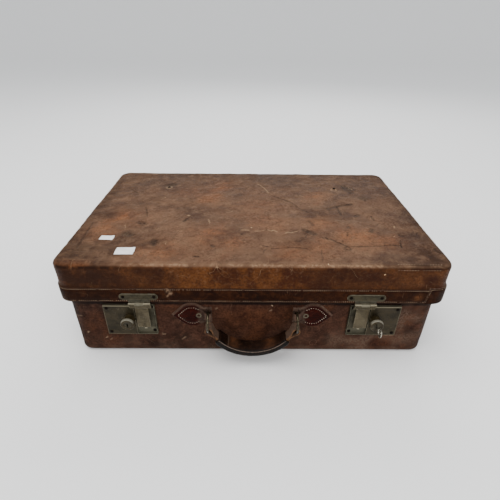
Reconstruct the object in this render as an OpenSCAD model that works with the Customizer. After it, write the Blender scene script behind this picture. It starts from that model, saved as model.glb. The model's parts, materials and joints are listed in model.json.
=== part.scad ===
// Leather travel case with an overlapping lid, two key locks with hasps and a ring-hung handle
// Millimetres, +X right, +Y to the back, +Z up, origin at the centre of the base

/* [Case] */
// Length of the lid's leather
lid_l = 610; // [560:5:700]
// Depth of the lid's leather from front to back
lid_d = 394; // [340:2:450]
// Height of the closed case
case_h = 185; // [182:1:215]
// Height of the lid's walls
lid_h = 68; // [58:1:70]
// Corner radius of the lid seen from above
corner_r = 28; // [24:1:40]
// Radius of the lid's top edge
top_edge_r = 8; // [7:0.5:12]
// Radius of the body's bottom edge
base_edge_r = 9; // [7:0.5:12]
// How far the body's walls reach up inside the lid
upstand = 21; // [14:1:28]
// Gap between the lid's lining and the body's leather
lid_gap = 1.5; // [1.2:0.1:2.5]

/* [Walls] */
// Thickness of the cover leather
leather_t = 2.5; // [2:0.1:3.2]
// Thickness of the board inside the walls
board_t = 2.5; // [2:0.1:3]
// Thickness of the lining cloth
lining_t = 0.6; // [0.4:0.1:1]
// Height of the leather binding round the mouth
binding_h = 7; // [5:0.5:10]
// Thickness of the binding over the board's edge
binding_t = 1.2; // [0.8:0.1:2]

/* [Lid band] */
// Height of the stitched band along the lid's lower edge
band_h = 26; // [22:1:32]
// Thickness of the band
band_t = 1.8; // [1:0.1:2.5]
// Distance from the lid's right end to the seam of the lap at the front right corner
lap_in = 32; // [29:1:43]
// How far the lap runs back along the right side
lap_back = 30; // [10:1:60]
// Height of the lap above the band's top edge
lap_rise = 3; // [1:0.5:5]
// Thickness of the lap
lap_t = 1.2; // [0.8:0.1:2]

/* [Locks] */
// Distance from the case's middle to the middle of a lock plate
lock_x = 198.5; // [190:0.5:210]
// Width of a lock plate
plate_w = 82; // [78:1:92]
// Height of a lock plate
plate_h = 61; // [56:1:66]
// Thickness of a lock plate
plate_t = 0.8; // [0.6:0.1:1]
// Space between the lid's lower edge and the lock plate
plate_drop = 11; // [9:0.5:14]
// Width of the raised cover over the bolt
cover_w = 49; // [46:0.5:50]
// Depth of the cover over the leather
cover_d = 5; // [4.8:0.1:5.6]
// Wall of the cover
cover_t = 0.8; // [0.6:0.1:1]
// Height of the rim along the plate's inboard and lower edges
rim_d = 5; // [2:0.2:5.2]
// Radius of the key barrel's rim
barrel_r = 11; // [9.5:0.25:11.5]
// How far the barrel stands out of the cover
barrel_l = 15.6; // [12:0.2:18]
// Radius of the key plug inside the barrel
plug_r = 6; // [5.6:0.1:6.5]
// Throw of the bolt for a quarter turn of the key
bolt_throw = 4; // [3.5:0.1:4.4]
// Height of the bolt's nose
nose_h = 8; // [6:0.5:10]

/* [Hasps] */
// Gap between a hasp's flap and the cover beside it
flap_gap = 2.2; // [1.6:0.1:2.8]
// Length of a hasp's oblong plate on the lid
hasp_plate_l = 60; // [54:1:68]
// Height of the oblong plate
hasp_plate_h = 12; // [11:0.5:15]
// Thickness of the hasp's sheet
sheet_t = 1.2; // [1:0.1:1.4]
// Outer radius of the hasp's knuckles
hasp_roll_r = 2.8; // [2.5:0.1:3]
// Radius of the hasp's hinge pin
hasp_pin_r = 1.2; // [1:0.1:1.4]
// Length of all three hasp knuckles together
hasp_roll_w = 34; // [30:1:38]
// Length of the middle knuckle
hasp_mid_w = 13.3; // [11:0.5:15]
// Width of the flap
flap_w = 21.6; // [19:0.2:22]
// Distance from the hinge down to the flap's lower edge
flap_l = 52.6; // [46:0.2:56]

/* [Handle] */
// Distance from the case's middle to a handle ring
ring_x = 70; // [64:1:80]
// Distance from the lid's lower edge down to the handle rings
ring_drop = 30; // [27:1:34]
// Wire radius of a ring
wire_r = 2; // [1.6:0.1:2.2]
// Radius of a ring to the middle of its wire
ring_r = 15.5; // [15:0.5:17]
// Radius of the grip's inner curve
grip_r = 66; // [60:0.5:80]
// Distance of the grip's inner curve below the rings
grip_drop = 52.5; // [48:0.5:56]
// Thickness of the grip
grip_t = 11.5; // [9:0.5:13]
// Width of the grip
grip_w = 28; // [22:1:32]
// Angle from the grip's middle to its end
grip_angle = 53; // [46:1:55]
// Width of the strap that runs through the grip and round the rings
strap_w = 18; // [14:1:18]
// Thickness of the strap
strap_t = 4; // [3:0.5:5]
// Thickness of the strap's loop round the ring
loop_t = 2.4; // [1.6:0.2:3]

/* [Handle tabs] */
// Radius of the two arcs that make a tab's leaf shape
leaf_r = 34; // [31:0.5:37]
// Half the height of the leaf
leaf_half = 22.5; // [20:0.5:25]
// Distance from the ring to the middle of the leaf
leaf_out = 26; // [24:0.5:28]
// Thickness of a tab
tab_t = 3.2; // [2.4:0.2:4]
// Thickness of the patch under a tab
patch_t = 1; // [0.6:0.1:1.2]
// How far the patch shows round the tab
patch_rim = 2.5; // [1:0.5:4]
// Height of the fold that holds the ring
fold_h = 14; // [10:1:14]

/* [Back hinges] */
// Number of hinges
hinge_count = 3; // [2:1:4]
// Distance from the lid's end to the middle of an outer hinge
hinge_in = 105; // [80:5:130]
// Width of a hinge
hinge_w = 50; // [40:1:60]
// Length of a hinge's middle knuckle
hinge_mid_w = 20; // [14:1:26]
// Outer radius of a hinge's knuckles
hinge_roll_r = 3.4; // [3.2:0.1:3.8]
// Radius of a hinge pin
hinge_pin_r = 1.5; // [1.2:0.1:1.8]
// Height of the leaf on the lid
lid_leaf_h = 23; // [18:1:25]
// Height of the leaf on the body
body_leaf_h = 38; // [26:1:50]
// Angle at which the hinge's toe stops the lid
open_angle = 100; // [95:1:108]

/* [Rivets] */
// Radius of a rivet's shank
rivet_r = 1.4; // [1:0.1:1.8]
// Radius of a lock rivet's head
lock_head_r = 2.8; // [2.4:0.1:3.4]
// Radius of a tab rivet's head
tab_head_r = 4.75; // [4:0.25:5.5]
// Radius of the two rivet heads on the lid
top_head_r = 3.3; // [2.6:0.1:4.5]
// Distance from the lid's end to a rivet on the lid
top_rivet_in = 127; // [85:1:150]
// Distance of the lid's rivets behind the case's middle
top_rivet_y = 103; // [60:1:140]
// Height of a rivet's head
head_t = 1.2; // [0.8:0.1:1.6]

/* [Key] */
// Length of the key in front of the barrel
key_out = 22; // [18:1:30]
// Outer radius of the key's bow
bow_r = 8; // [7:0.5:11]
// Thickness of the bow
bow_t = 1.8; // [1.4:0.1:2.4]

/* [Labels] */
// Length of the larger label
label_l = 34; // [20:1:50]
// Width of the larger label
label_w = 23; // [15:1:35]
// Length of the smaller label
small_label_l = 26; // [12:1:40]
// Width of the smaller label
small_label_w = 15; // [8:1:30]
// Distance of the larger label's middle from the lid's left end
label_in = 104; // [90:1:140]
// Distance of the larger label's middle from the lid's front
label_back = 40; // [30:1:60]
// Distance of the smaller label's middle from the lid's left end
small_label_in = 63; // [45:1:75]
// Distance of the smaller label's middle from the lid's front
small_label_back = 81; // [72:1:110]
// Thickness of the paper
paper_t = 0.3; // [0.2:0.1:0.5]

/* [Hidden] */

$fn = 48;
// A hair that makes joined shapes overlap, and how far a cut runs past a surface
eps = 0.01;
past = 1;
// Clearance of a turning fit, and of pieces that pass each other
running = 0.05;
apart = 0.3;

wall_t = leather_t + board_t + lining_t;
inset = wall_t + lid_gap;
lid_z = case_h - lid_h;
body_l = lid_l - 2 * inset;
body_d = lid_d - 2 * inset;
body_r = corner_r - inset;
body_top = lid_z + upstand;
front_y = -body_d / 2;
back_y = body_d / 2;
band_front_y = -lid_d / 2 - band_t;
band_back_y = lid_d / 2 + band_t;
lap_x = lid_l / 2 - lap_in;
hinge_span = lid_l - 2 * hinge_in;
top_rivet_x = lid_l / 2 - top_rivet_in;

// Depths of the lock's layers, counted outwards from the body's front
plate_top = lid_z - plate_drop;
plate_z = plate_top - plate_h / 2;
lock_rise = 3.5;
lock_z = plate_z + lock_rise;
barrel_front = cover_d + barrel_l;
flap_clear = 0.4;
barrel_clear = 0.4;
flap_d = cover_d + flap_clear;
bolt_back = plate_t + apart;
bolt_front = cover_d - cover_t - apart;
nose_t = 1.1;
nose_front = bolt_front - apart;
nose_back = nose_front - nose_t;
eye_clear = 0.3;
staple_wall = 0.9;
staple_back = nose_back - eye_clear - staple_wall;
staple_t = 3;
cover_edge_x = lock_x + plate_w / 2 - cover_w;
hasp_x = cover_edge_x - flap_gap - flap_w / 2;
barrel_x = cover_edge_x + barrel_r + barrel_clear - flap_gap;
crank_r = bolt_throw;
crank_pin_r = 0.9;
crank_slack = 1;
collar_r = plug_r + 1.2;
collar_l = 1.8;
rivet_in = 5.5;
tail_t = 0.8;

// Hinge axes, near the lid's lower edge
hasp_y = band_front_y - hasp_roll_r;
hasp_z = lid_z - hasp_roll_r + 0.5;
hinge_y = band_back_y + sheet_t - hinge_roll_r;
hinge_z = lid_z - hinge_roll_r - 0.4;

// Ring and strap
fold_floor = 1.7;
fold_back = patch_t + fold_floor;
ring_out = fold_back + apart + wire_r + ring_r;
ring_y = front_y - ring_out;
wire_gap = 0.35;
eye_top = sqrt(pow(ring_r - wire_r, 2) - pow(strap_w / 2, 2));
eye_low = ring_r + wire_r;
eye_r = (eye_low - eye_top) / 2 + wire_gap;
handle_z = lid_z - ring_drop;
eye_z = handle_z - (eye_low + eye_top) / 2;
grip_z = handle_z - grip_drop + grip_r;
strap_r = grip_r + grip_t / 2;
leaf_x = ring_x + leaf_out;
tab_rivet_out = 17;
tab_rivet_x = ring_x + tab_rivet_out;
tab_z = handle_z - 1;
fold_front = ring_out - sqrt(pow(ring_r - wire_r, 2) - pow(fold_h / 2, 2)) + wire_gap;
fold_t = 2;

// Middles of the labels, measured in from the lid's left end and its front
label_x = label_in - lid_l / 2;
label_y = label_back - lid_d / 2;
small_label_x = small_label_in - lid_l / 2;
small_label_y = small_label_back - lid_d / 2;

// A section swept once round a rounded rectangle; its x runs outwards from the corner's centre
module sweep_round(length, depth, radius) {
    ix = length / 2 - radius;
    iy = depth / 2 - radius;
    for (side = [0, 1])
        mirror([side, 0, 0]) translate([ix, iy, 0]) rotate([90, 0, 0]) linear_extrude(2 * iy) children();
    for (side = [0, 1])
        mirror([0, side, 0]) translate([-ix, iy, 0]) rotate([90, 0, 90]) linear_extrude(2 * ix) children();
    for (side = [0, 1], end = [0, 1])
        mirror([side, 0, 0]) mirror([0, end, 0]) translate([ix, iy, 0]) rotate_extrude(angle = 90) children();
}

// The flat middle of a panel between the corner centres
module middle_panel(length, depth, radius, low, thick) {
    translate([radius - length / 2, radius - depth / 2, low])
        cube([length - 2 * radius, depth - 2 * radius, thick]);
}

// Section of a lid's layer: a panel on top, a rounded edge and a wall down to the lip
module lid_section(radius, thick, edge, low, high) {
    translate([0, high - thick]) square([radius - edge, thick]);
    translate([radius - thick, low]) square([thick, high - edge - low]);
    translate([radius - edge, high - edge]) intersection() {
        square(edge);
        difference() {
            circle(edge);
            circle(edge - thick);
        }
    }
}

// One layer of the lid, depth_in from the leather's outer face
module lid_layer(depth_in, thick) {
    length = lid_l - 2 * depth_in;
    depth = lid_d - 2 * depth_in;
    radius = corner_r - depth_in;
    high = case_h - depth_in;
    sweep_round(length, depth, radius) lid_section(radius, thick, top_edge_r - depth_in, lid_z, high);
    middle_panel(length, depth, radius, high - thick, thick);
}

// One layer of the body, depth_in from the leather's outer face
module body_layer(depth_in, thick, high) {
    length = body_l - 2 * depth_in;
    depth = body_d - 2 * depth_in;
    radius = body_r - depth_in;
    translate([0, 0, depth_in + high]) mirror([0, 0, 1])
        sweep_round(length, depth, radius) lid_section(radius, thick, base_edge_r - depth_in, 0, high);
    middle_panel(length, depth, radius, depth_in, thick);
}

// Places children at the left side, and mirrored at the right
module both_sides() {
    for (side = [0, 1]) mirror([side, 0, 0]) children();
}

// Turns a shape so that its +Z points out of the front at the body's leather
module on_front(x, z, out = 0) {
    translate([x, front_y - out, z]) rotate([90, 0, 0]) children();
}

// A rivet along +Z: head on top, shank and clenched tail below a stack of the given thickness
module rivet(stack, head_r, tail_r) {
    side_t = head_t * 0.4;
    cylinder(r = head_r, h = side_t);
    translate([0, 0, side_t]) cylinder(r1 = head_r, r2 = head_r * 0.6, h = head_t - side_t);
    translate([0, 0, -stack]) cylinder(r = rivet_r, h = stack + eps);
    translate([0, 0, -stack - tail_t]) cylinder(r = tail_r, h = tail_t);
}

// The places of a lock's rivets: across, up, and how far out the head sits
function lock_rivet_places() = [
    [-lock_x - plate_w / 2 + rivet_in, plate_z + plate_h / 2 - rivet_in, cover_d],
    [-lock_x - plate_w / 2 + rivet_in, plate_z - plate_h / 2 + rivet_in, cover_d],
    [-lock_x + plate_w / 2 - rivet_in, plate_z + plate_h / 2 - rivet_in, plate_t],
    [-lock_x + plate_w / 2 - rivet_in, plate_z - plate_h / 2 + rivet_in, plate_t]];
function hinge_places() = [for (i = [0:hinge_count - 1]) hinge_span * (i / (hinge_count - 1) - 1 / 2)];
leaf_rivet_in = 8;
hinge_rivet_x = hinge_w / 2 - leaf_rivet_in;
body_leaf_rivet_z = hinge_z - body_leaf_h + leaf_rivet_in;
lid_leaf_rivet_z = lid_z + lid_leaf_h - leaf_rivet_in;
hasp_plate_rise = 5;
hasp_rivet_x = hasp_plate_l / 2 - hasp_plate_h / 2;
hasp_plate_z = lid_z + hasp_plate_rise + hasp_plate_h / 2;

// Bores for every rivet through the body's front and back walls
module body_bores() {
    bore_r = rivet_r + running;
    deep = wall_t + 2 * past;
    both_sides() {
        for (p = lock_rivet_places()) on_front(p[0], p[1], -wall_t - past) cylinder(r = bore_r, h = deep);
        on_front(-tab_rivet_x, tab_z, -wall_t - past) cylinder(r = bore_r, h = deep);
    }
    for (x = hinge_places(), side = [-1, 1])
        translate([x + side * hinge_rivet_x, back_y - wall_t - past, body_leaf_rivet_z])
            rotate([-90, 0, 0]) cylinder(r = bore_r, h = deep);
}

// Bores for every rivet through the lid's walls, band and top
module lid_bores() {
    bore_r = rivet_r + running;
    deep = wall_t + band_t + 2 * past;
    both_sides() {
        for (side = [-1, 1])
            translate([side * hasp_rivet_x - hasp_x, band_front_y - past, hasp_plate_z])
                rotate([-90, 0, 0]) cylinder(r = bore_r, h = deep);
        translate([-top_rivet_x, top_rivet_y, case_h - wall_t - past])
            cylinder(r = bore_r, h = wall_t + 2 * past);
    }
    for (x = hinge_places(), side = [-1, 1])
        translate([x + side * hinge_rivet_x, band_back_y + past, lid_leaf_rivet_z])
            rotate([90, 0, 0]) cylinder(r = bore_r, h = deep);
}

module body_leather() {
    color("#4a2a20") difference() {
        body_layer(0, leather_t, body_top - binding_h);
        body_bores();
    }
}

module body_board() {
    color("#b09878") difference() {
        body_layer(leather_t, board_t, body_top - binding_t - leather_t);
        body_bores();
    }
}

module body_lining() {
    depth_in = leather_t + board_t;
    color("#a08a66") difference() {
        body_layer(depth_in, lining_t, body_top - binding_h - depth_in);
        body_bores();
    }
}

// Leather strip folded over the top of the body's walls
module mouth_binding() {
    color("#3a2018") sweep_round(body_l, body_d, body_r) difference() {
        translate([body_r - wall_t, body_top - binding_h]) square([wall_t, binding_h]);
        translate([body_r - leather_t - board_t, body_top - binding_h - past])
            square([board_t, binding_h - binding_t + past]);
    }
}

// Plate with a rim folded up along its inboard and lower edges, drawn at the left
module lock_plate() {
    color("#55523f") difference() {
        union() {
            on_front(-lock_x - plate_w / 2, plate_z - plate_h / 2) cube([plate_w, plate_h, plate_t]);
            on_front(-lock_x + plate_w / 2 - plate_t, plate_z - plate_h / 2) cube([plate_t, plate_h, rim_d]);
            on_front(-cover_edge_x + apart, plate_z - plate_h / 2)
                cube([plate_w - cover_w - apart, plate_t, rim_d]);
        }
        for (p = lock_rivet_places()) on_front(p[0], p[1], -past)
            cylinder(r = rivet_r + running, h = plate_t + 2 * past);
    }
}

// Raised cover over the bolt, open at the back, with a slot for the bolt's nose
module lock_cover() {
    inner_w = cover_w - 2 * cover_t;
    inner_h = plate_h - 2 * cover_t;
    color("#5a5744") difference() {
        on_front(-cover_edge_x - cover_w, plate_z - plate_h / 2, plate_t)
            cube([cover_w, plate_h, cover_d - plate_t]);
        on_front(-cover_edge_x - cover_w + cover_t, plate_z - inner_h / 2, plate_t - past)
            cube([inner_w, inner_h, cover_d - cover_t - plate_t + past]);
        on_front(-barrel_x, lock_z, 0) cylinder(r = plug_r + apart, h = cover_d + past);
        on_front(-cover_edge_x - cover_t - past, lock_z - nose_h / 2 - apart, nose_back - apart)
            cube([cover_t + 2 * past, nose_h + 2 * apart, nose_t + 2 * apart]);
        for (p = lock_rivet_places()) on_front(p[0], p[1])
            cylinder(r = rivet_r + running, h = cover_d + past);
    }
}

// Round barrel with a wider rim at its front and a bore for the key plug
module barrel() {
    rim_l = 4;
    rim_step = 2;
    chamfer = 0.8;
    color("#6a675a") difference() {
        union() {
            on_front(-barrel_x, lock_z, cover_d) cylinder(r = barrel_r - rim_step, h = barrel_l);
            on_front(-barrel_x, lock_z, barrel_front - rim_l) cylinder(r = barrel_r, h = rim_l - chamfer);
            on_front(-barrel_x, lock_z, barrel_front - chamfer)
                cylinder(r1 = barrel_r, r2 = barrel_r - chamfer, h = chamfer);
        }
        on_front(-barrel_x, lock_z, cover_d - past) cylinder(r = plug_r + running, h = barrel_l + 2 * past);
        on_front(-barrel_x, lock_z, cover_d - past)
            cylinder(r = collar_r + running, h = collar_l + past + 2 * apart);
    }
}

// Round plug with a keyhole, a collar that holds it in the barrel and a crank pin for the bolt
module key_plug() {
    hole_depth = barrel_l - 3;
    hole_r = 1.7;
    hole_drop = 5;
    front = barrel_front - 0.6;
    back = cover_d - cover_t + 0.1;
    pin_back = bolt_back + 0.8;
    color("#4e4b3c") difference() {
        union() {
            on_front(-barrel_x, lock_z, back) cylinder(r = plug_r, h = front - back);
            on_front(-barrel_x, lock_z, cover_d + apart) cylinder(r = collar_r, h = collar_l);
            on_front(-barrel_x, lock_z - crank_r, pin_back)
                cylinder(r = crank_pin_r, h = back + eps - pin_back);
        }
        on_front(-barrel_x, lock_z, front - hole_depth) cylinder(r = hole_r, h = hole_depth + past);
        on_front(-barrel_x - hole_r / 2, lock_z - hole_drop, front - hole_depth)
            cube([hole_r, hole_drop, hole_depth + past]);
    }
}

// Sliding bolt with a slot for the crank pin and a nose that enters the flap's staple
module bolt() {
    behind = 13;
    slot_w = 2 * (crank_pin_r + crank_slack);
    slot_low = crank_r + crank_pin_r + 0.4;
    slot_high = 1.5;
    bolt_low = slot_low + 2.5;
    bolt_high = nose_h / 2 + 2;
    color("#77705a") difference() {
        union() {
            on_front(-barrel_x - behind, lock_z - bolt_low, bolt_back)
                cube([behind + barrel_x - cover_edge_x - cover_t - bolt_throw - apart, bolt_low + bolt_high,
                    bolt_front - bolt_back]);
            on_front(-barrel_x, lock_z - nose_h / 2, nose_back)
                cube([barrel_x - cover_edge_x - apart, nose_h, nose_t]);
        }
        on_front(-barrel_x - slot_w / 2, lock_z - slot_low, 0) cube([slot_w, slot_low + slot_high, cover_d]);
    }
}

// Key standing in the right lock, its bow in an upright plane
module key() {
    tip = cover_d + 4;
    shank_r = 1.3;
    bow_wall = 2.6;
    bit_t = 1;
    bit_drop = 4.4;
    bit_l = 3.5;
    bow_y = front_y - barrel_front - key_out + bow_r;
    shank_front = barrel_front + key_out - 2 * bow_r + bow_wall / 2;
    color("#8b8778") {
        on_front(barrel_x, lock_z, tip) cylinder(r = shank_r, h = shank_front - tip);
        on_front(barrel_x - bit_t / 2, lock_z - bit_drop, tip) cube([bit_t, bit_drop, bit_l]);
        translate([barrel_x - bow_t / 2, bow_y, lock_z]) rotate([0, 90, 0]) difference() {
            cylinder(r = bow_r, h = bow_t);
            translate([0, 0, -past]) cylinder(r = bow_r - bow_wall, h = bow_t + 2 * past);
        }
    }
}

module lock_rivets() {
    color("#2e2b20") both_sides() for (p = lock_rivet_places())
        on_front(p[0], p[1], p[2]) rivet(p[2] + wall_t, lock_head_r, lock_head_r);
}

// Leaf shape pointing to -X, from two arcs, cut at its inner end
module leaf(grow, inner) {
    radius = leaf_r + grow;
    shift = leaf_r - leaf_half;
    intersection() {
        translate([-leaf_x, tab_z + shift]) circle(radius, $fn = 96);
        translate([-leaf_x, tab_z - shift]) circle(radius, $fn = 96);
        translate([-leaf_x - leaf_r, tab_z - leaf_r]) square([leaf_x + leaf_r - inner, 2 * leaf_r]);
    }
}

// Leather tab whose inner end folds round the ring
module tab() {
    half = wire_r + wire_gap;
    slope_out = 11;
    slope_x = ring_x + slope_out;
    fold_x = ring_x + half + fold_t;
    nose_x = ring_x - half - fold_t;
    nose_step = 1.2;
    color("#4c1a14") difference() {
        union() {
            translate([0, front_y - patch_t, 0]) rotate([90, 0, 0]) linear_extrude(tab_t) leaf(0, fold_x);
            translate([0, front_y, handle_z - fold_h / 2]) linear_extrude(fold_h) polygon([
                [-slope_x, -patch_t], [-slope_x, -patch_t - tab_t], [-fold_x, -fold_front - fold_t],
                [-ring_x + half, -fold_front - fold_t], [-nose_x, -fold_front],
                [-nose_x, -patch_t - nose_step], [-nose_x - nose_step, -patch_t]]);
        }
        translate([-ring_x - half, front_y - fold_front, handle_z - fold_h])
            cube([2 * half, fold_front - fold_back, 2 * fold_h]);
        on_front(-tab_rivet_x, tab_z, 0) cylinder(r = rivet_r + running, h = patch_t + tab_t + past);
    }
}

module tab_patches() {
    inner_x = ring_x - wire_r - wire_gap - fold_t;
    color("#6b4636") both_sides() difference() {
        translate([0, front_y, 0]) rotate([90, 0, 0]) linear_extrude(patch_t) leaf(patch_rim, inner_x);
        on_front(-tab_rivet_x, tab_z, -past) cylinder(r = rivet_r + running, h = patch_t + 2 * past);
    }
}

module tab_rivets() {
    color("#57553f") both_sides() on_front(-tab_rivet_x, tab_z, patch_t + tab_t)
        rivet(patch_t + tab_t + wall_t, tab_head_r, tab_head_r * 0.8);
}

module ring() {
    color("#8a8468") translate([-ring_x, ring_y, handle_z]) rotate([0, 90, 0])
        rotate_extrude() translate([ring_r, 0]) circle(wire_r);
}

// A point of the handle's curve at the end of the strap, at the given distance from the curve's axis
function curve_end(radius) = [-radius * sin(grip_angle), grip_z - radius * cos(grip_angle)];

// Outline of the strap's loop in the plane of the handle: round the ring, then down to the grip
module loop_outline() {
    centre = [-ring_x, eye_z];
    run = curve_end(strap_r) - centre;
    along = run / norm(run);
    across = [-along[1], along[0]];
    outer = eye_r + loop_t;
    within = 0.05;
    gap_end = centre + run * 0.72;
    gap_tip = 0.3 * across;
    difference() {
        union() {
            translate(centre) circle(outer);
            polygon([centre + (outer - within) * across, curve_end(strap_r - strap_t / 2),
                curve_end(strap_r + strap_t / 2), centre - (outer - within) * across]);
        }
        translate(centre) circle(eye_r);
        polygon([centre + (eye_r - within) * across, gap_end + gap_tip, gap_end - gap_tip,
            centre - (eye_r - within) * across]);
    }
}

// Strap through the whole grip, with a loop round each ring
module handle_strap() {
    half_angle = grip_angle + 0.5;
    core_w = strap_w - 2 * running;
    color("#5b4234") {
        translate([0, ring_y + core_w / 2, grip_z]) rotate([90, 0, 0]) rotate([0, 0, 270 - half_angle])
            rotate_extrude(angle = 2 * half_angle) translate([strap_r - strap_t / 2, 0])
                square([strap_t, core_w]);
        both_sides() translate([0, ring_y + strap_w / 2, 0]) rotate([90, 0, 0])
            linear_extrude(strap_w) loop_outline();
    }
}

// Section of the padded grip round the strap, with its origin on the curve's axis
module grip_section() {
    edge = grip_t / 2 - 1;
    difference() {
        union() {
            translate([grip_r, edge - grip_w / 2]) square([grip_t, grip_w - 2 * edge]);
            translate([grip_r + edge, -grip_w / 2]) square([grip_t - 2 * edge, grip_w]);
            for (x = [grip_r + edge, grip_r + grip_t - edge], y = [edge - grip_w / 2, grip_w / 2 - edge])
                translate([x, y]) circle(edge);
        }
        translate([strap_r - strap_t / 2, -strap_w / 2]) square([strap_t, strap_w]);
    }
}

module handle_grip() {
    padded_angle = grip_angle - 1.5;
    color("#3a211a") translate([0, ring_y, grip_z]) rotate([90, 0, 0]) rotate([0, 0, 270 - padded_angle])
        rotate_extrude(angle = 2 * padded_angle) grip_section();
}

// Knuckle tube along X from x0, with its bore
module knuckle(x0, length, outer, pin) {
    translate([x0, 0, 0]) rotate([0, 90, 0]) difference() {
        cylinder(r = outer, h = length);
        translate([0, 0, -past]) cylinder(r = pin, h = length + 2 * past);
    }
}

// Body side of a back hinge: leaf on the body, shelf under the axis and two knuckles
module hinge_body_leaf() {
    side_w = (hinge_w - hinge_mid_w) / 2;
    reach = hinge_y - back_y;
    for (x0 = [-hinge_w / 2, hinge_mid_w / 2]) {
        translate([0, hinge_y, hinge_z]) knuckle(x0, side_w, hinge_roll_r, hinge_pin_r + running);
        translate([x0, back_y, hinge_z - hinge_roll_r]) cube([side_w, reach, sheet_t]);
    }
    translate([-hinge_w / 2, back_y, hinge_z - body_leaf_h])
        cube([hinge_w, sheet_t, body_leaf_h - hinge_roll_r + sheet_t]);
}

module hinge_body_leaves() {
    color("#5a5744") for (x = hinge_places()) translate([x, 0, 0]) difference() {
        hinge_body_leaf();
        for (side = [-1, 1]) translate([side * hinge_rivet_x, back_y - past, body_leaf_rivet_z])
            rotate([-90, 0, 0]) cylinder(r = rivet_r + running, h = sheet_t + 2 * past);
    }
}

// Lid side of a back hinge: leaf on the band, one knuckle and the toe that stops the lid
module hinge_lid_leaves() {
    mid_w = hinge_mid_w - 2 * apart;
    toe_t = 1.6;
    toe_slope = 45;
    toe_root = hinge_roll_r - 1;
    toe_tip = (hinge_y - back_y - sheet_t - apart) / sin(toe_slope) - toe_t / 2;
    color("#5a5744") for (x = hinge_places()) translate([x, 0, 0]) difference() {
        union() {
            translate([0, hinge_y, hinge_z]) knuckle(-mid_w / 2, mid_w, hinge_roll_r, hinge_pin_r + running);
            translate([-mid_w / 2, band_back_y, hinge_z]) cube([mid_w, sheet_t, lid_z - hinge_z + past]);
            translate([-hinge_w / 2, band_back_y, lid_z]) cube([hinge_w, sheet_t, lid_leaf_h]);
            translate([-mid_w / 2, hinge_y, hinge_z]) rotate([open_angle + toe_slope - 180, 0, 0])
                translate([0, toe_root, -toe_t / 2]) cube([mid_w, toe_tip - toe_root, toe_t]);
        }
        for (side = [-1, 1]) translate([side * hinge_rivet_x, band_back_y - past, lid_leaf_rivet_z])
            rotate([-90, 0, 0]) cylinder(r = rivet_r + running, h = sheet_t + 2 * past);
    }
}

module hinge_pins() {
    proud = 0.5;
    color("#8a8468") for (x = hinge_places()) translate([x - hinge_w / 2 - proud, hinge_y, hinge_z])
        rotate([0, 90, 0]) cylinder(r = hinge_pin_r, h = hinge_w + 2 * proud);
}

module hinge_body_rivets() {
    color("#57553f") for (x = hinge_places(), side = [-1, 1])
        translate([x + side * hinge_rivet_x, back_y + sheet_t, body_leaf_rivet_z]) rotate([-90, 0, 0])
            rivet(sheet_t + wall_t, lock_head_r, lock_head_r);
}

module hinge_lid_rivets() {
    color("#57553f") for (x = hinge_places(), side = [-1, 1])
        translate([x + side * hinge_rivet_x, band_back_y + sheet_t, lid_leaf_rivet_z]) rotate([-90, 0, 0])
            rivet(sheet_t + band_t + wall_t, lock_head_r, lock_head_r);
}

module lid_leather() {
    color("#6e3f24") difference() {
        lid_layer(0, leather_t);
        lid_bores();
    }
}

module lid_board() {
    color("#b09878") difference() {
        lid_layer(leather_t, board_t);
        lid_bores();
    }
}

module lid_lining() {
    color("#a08a66") difference() {
        lid_layer(leather_t + board_t, lining_t);
        lid_bores();
    }
}

module lid_band() {
    color("#5c2f1a") difference() {
        sweep_round(lid_l, lid_d, corner_r) translate([corner_r, lid_z]) square([band_t, band_h]);
        lid_bores();
    }
}

// Section of the lap: over the band, and down to the leather above it
module lap_section() {
    translate([corner_r + band_t, lid_z]) square([lap_t, band_h + lap_rise]);
    translate([corner_r, lid_z + band_h]) square([band_t, lap_rise]);
}

// Lap over the band's joint at the front right corner
module band_lap() {
    ix = lid_l / 2 - corner_r;
    iy = lid_d / 2 - corner_r;
    color("#6a3a1c") mirror([0, 1, 0]) {
        translate([lap_x, iy, 0]) rotate([90, 0, 90]) linear_extrude(ix - lap_x) lap_section();
        translate([ix, iy, 0]) rotate_extrude(angle = 90) lap_section();
        translate([ix, iy, 0]) rotate([90, 0, 0]) linear_extrude(lap_back) lap_section();
    }
}

module lid_top_rivets() {
    color("#3b3022") both_sides() translate([-top_rivet_x, top_rivet_y, case_h])
        rivet(wall_t, top_head_r, top_head_r);
}

// Oblong plate on the lid's band with a neck down to the middle knuckle
module hasp_plate() {
    free_z = hasp_z + hasp_roll_r + apart;
    color("#5a5744") translate([-hasp_x, 0, 0]) difference() {
        union() {
            translate([0, band_front_y, 0]) rotate([90, 0, 0]) linear_extrude(sheet_t) {
                for (side = [-1, 1]) translate([side * hasp_rivet_x, hasp_plate_z]) circle(hasp_plate_h / 2);
                translate([-hasp_rivet_x, hasp_plate_z - hasp_plate_h / 2])
                    square([2 * hasp_rivet_x, hasp_plate_h]);
                translate([-hasp_roll_w / 2, free_z]) square([hasp_roll_w, hasp_plate_z - free_z]);
                translate([-hasp_mid_w / 2, hasp_z]) square([hasp_mid_w, hasp_plate_z - hasp_z]);
            }
            translate([0, hasp_y, hasp_z])
                knuckle(-hasp_mid_w / 2, hasp_mid_w, hasp_roll_r, hasp_pin_r + running);
        }
        for (side = [-1, 1]) translate([side * hasp_rivet_x, band_front_y + past, hasp_plate_z])
            rotate([90, 0, 0]) cylinder(r = rivet_r + running, h = sheet_t + 2 * past);
        translate([-hasp_roll_w, hasp_y, hasp_z]) rotate([0, 90, 0])
            cylinder(r = hasp_pin_r + running, h = 2 * hasp_roll_w);
    }
}

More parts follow.
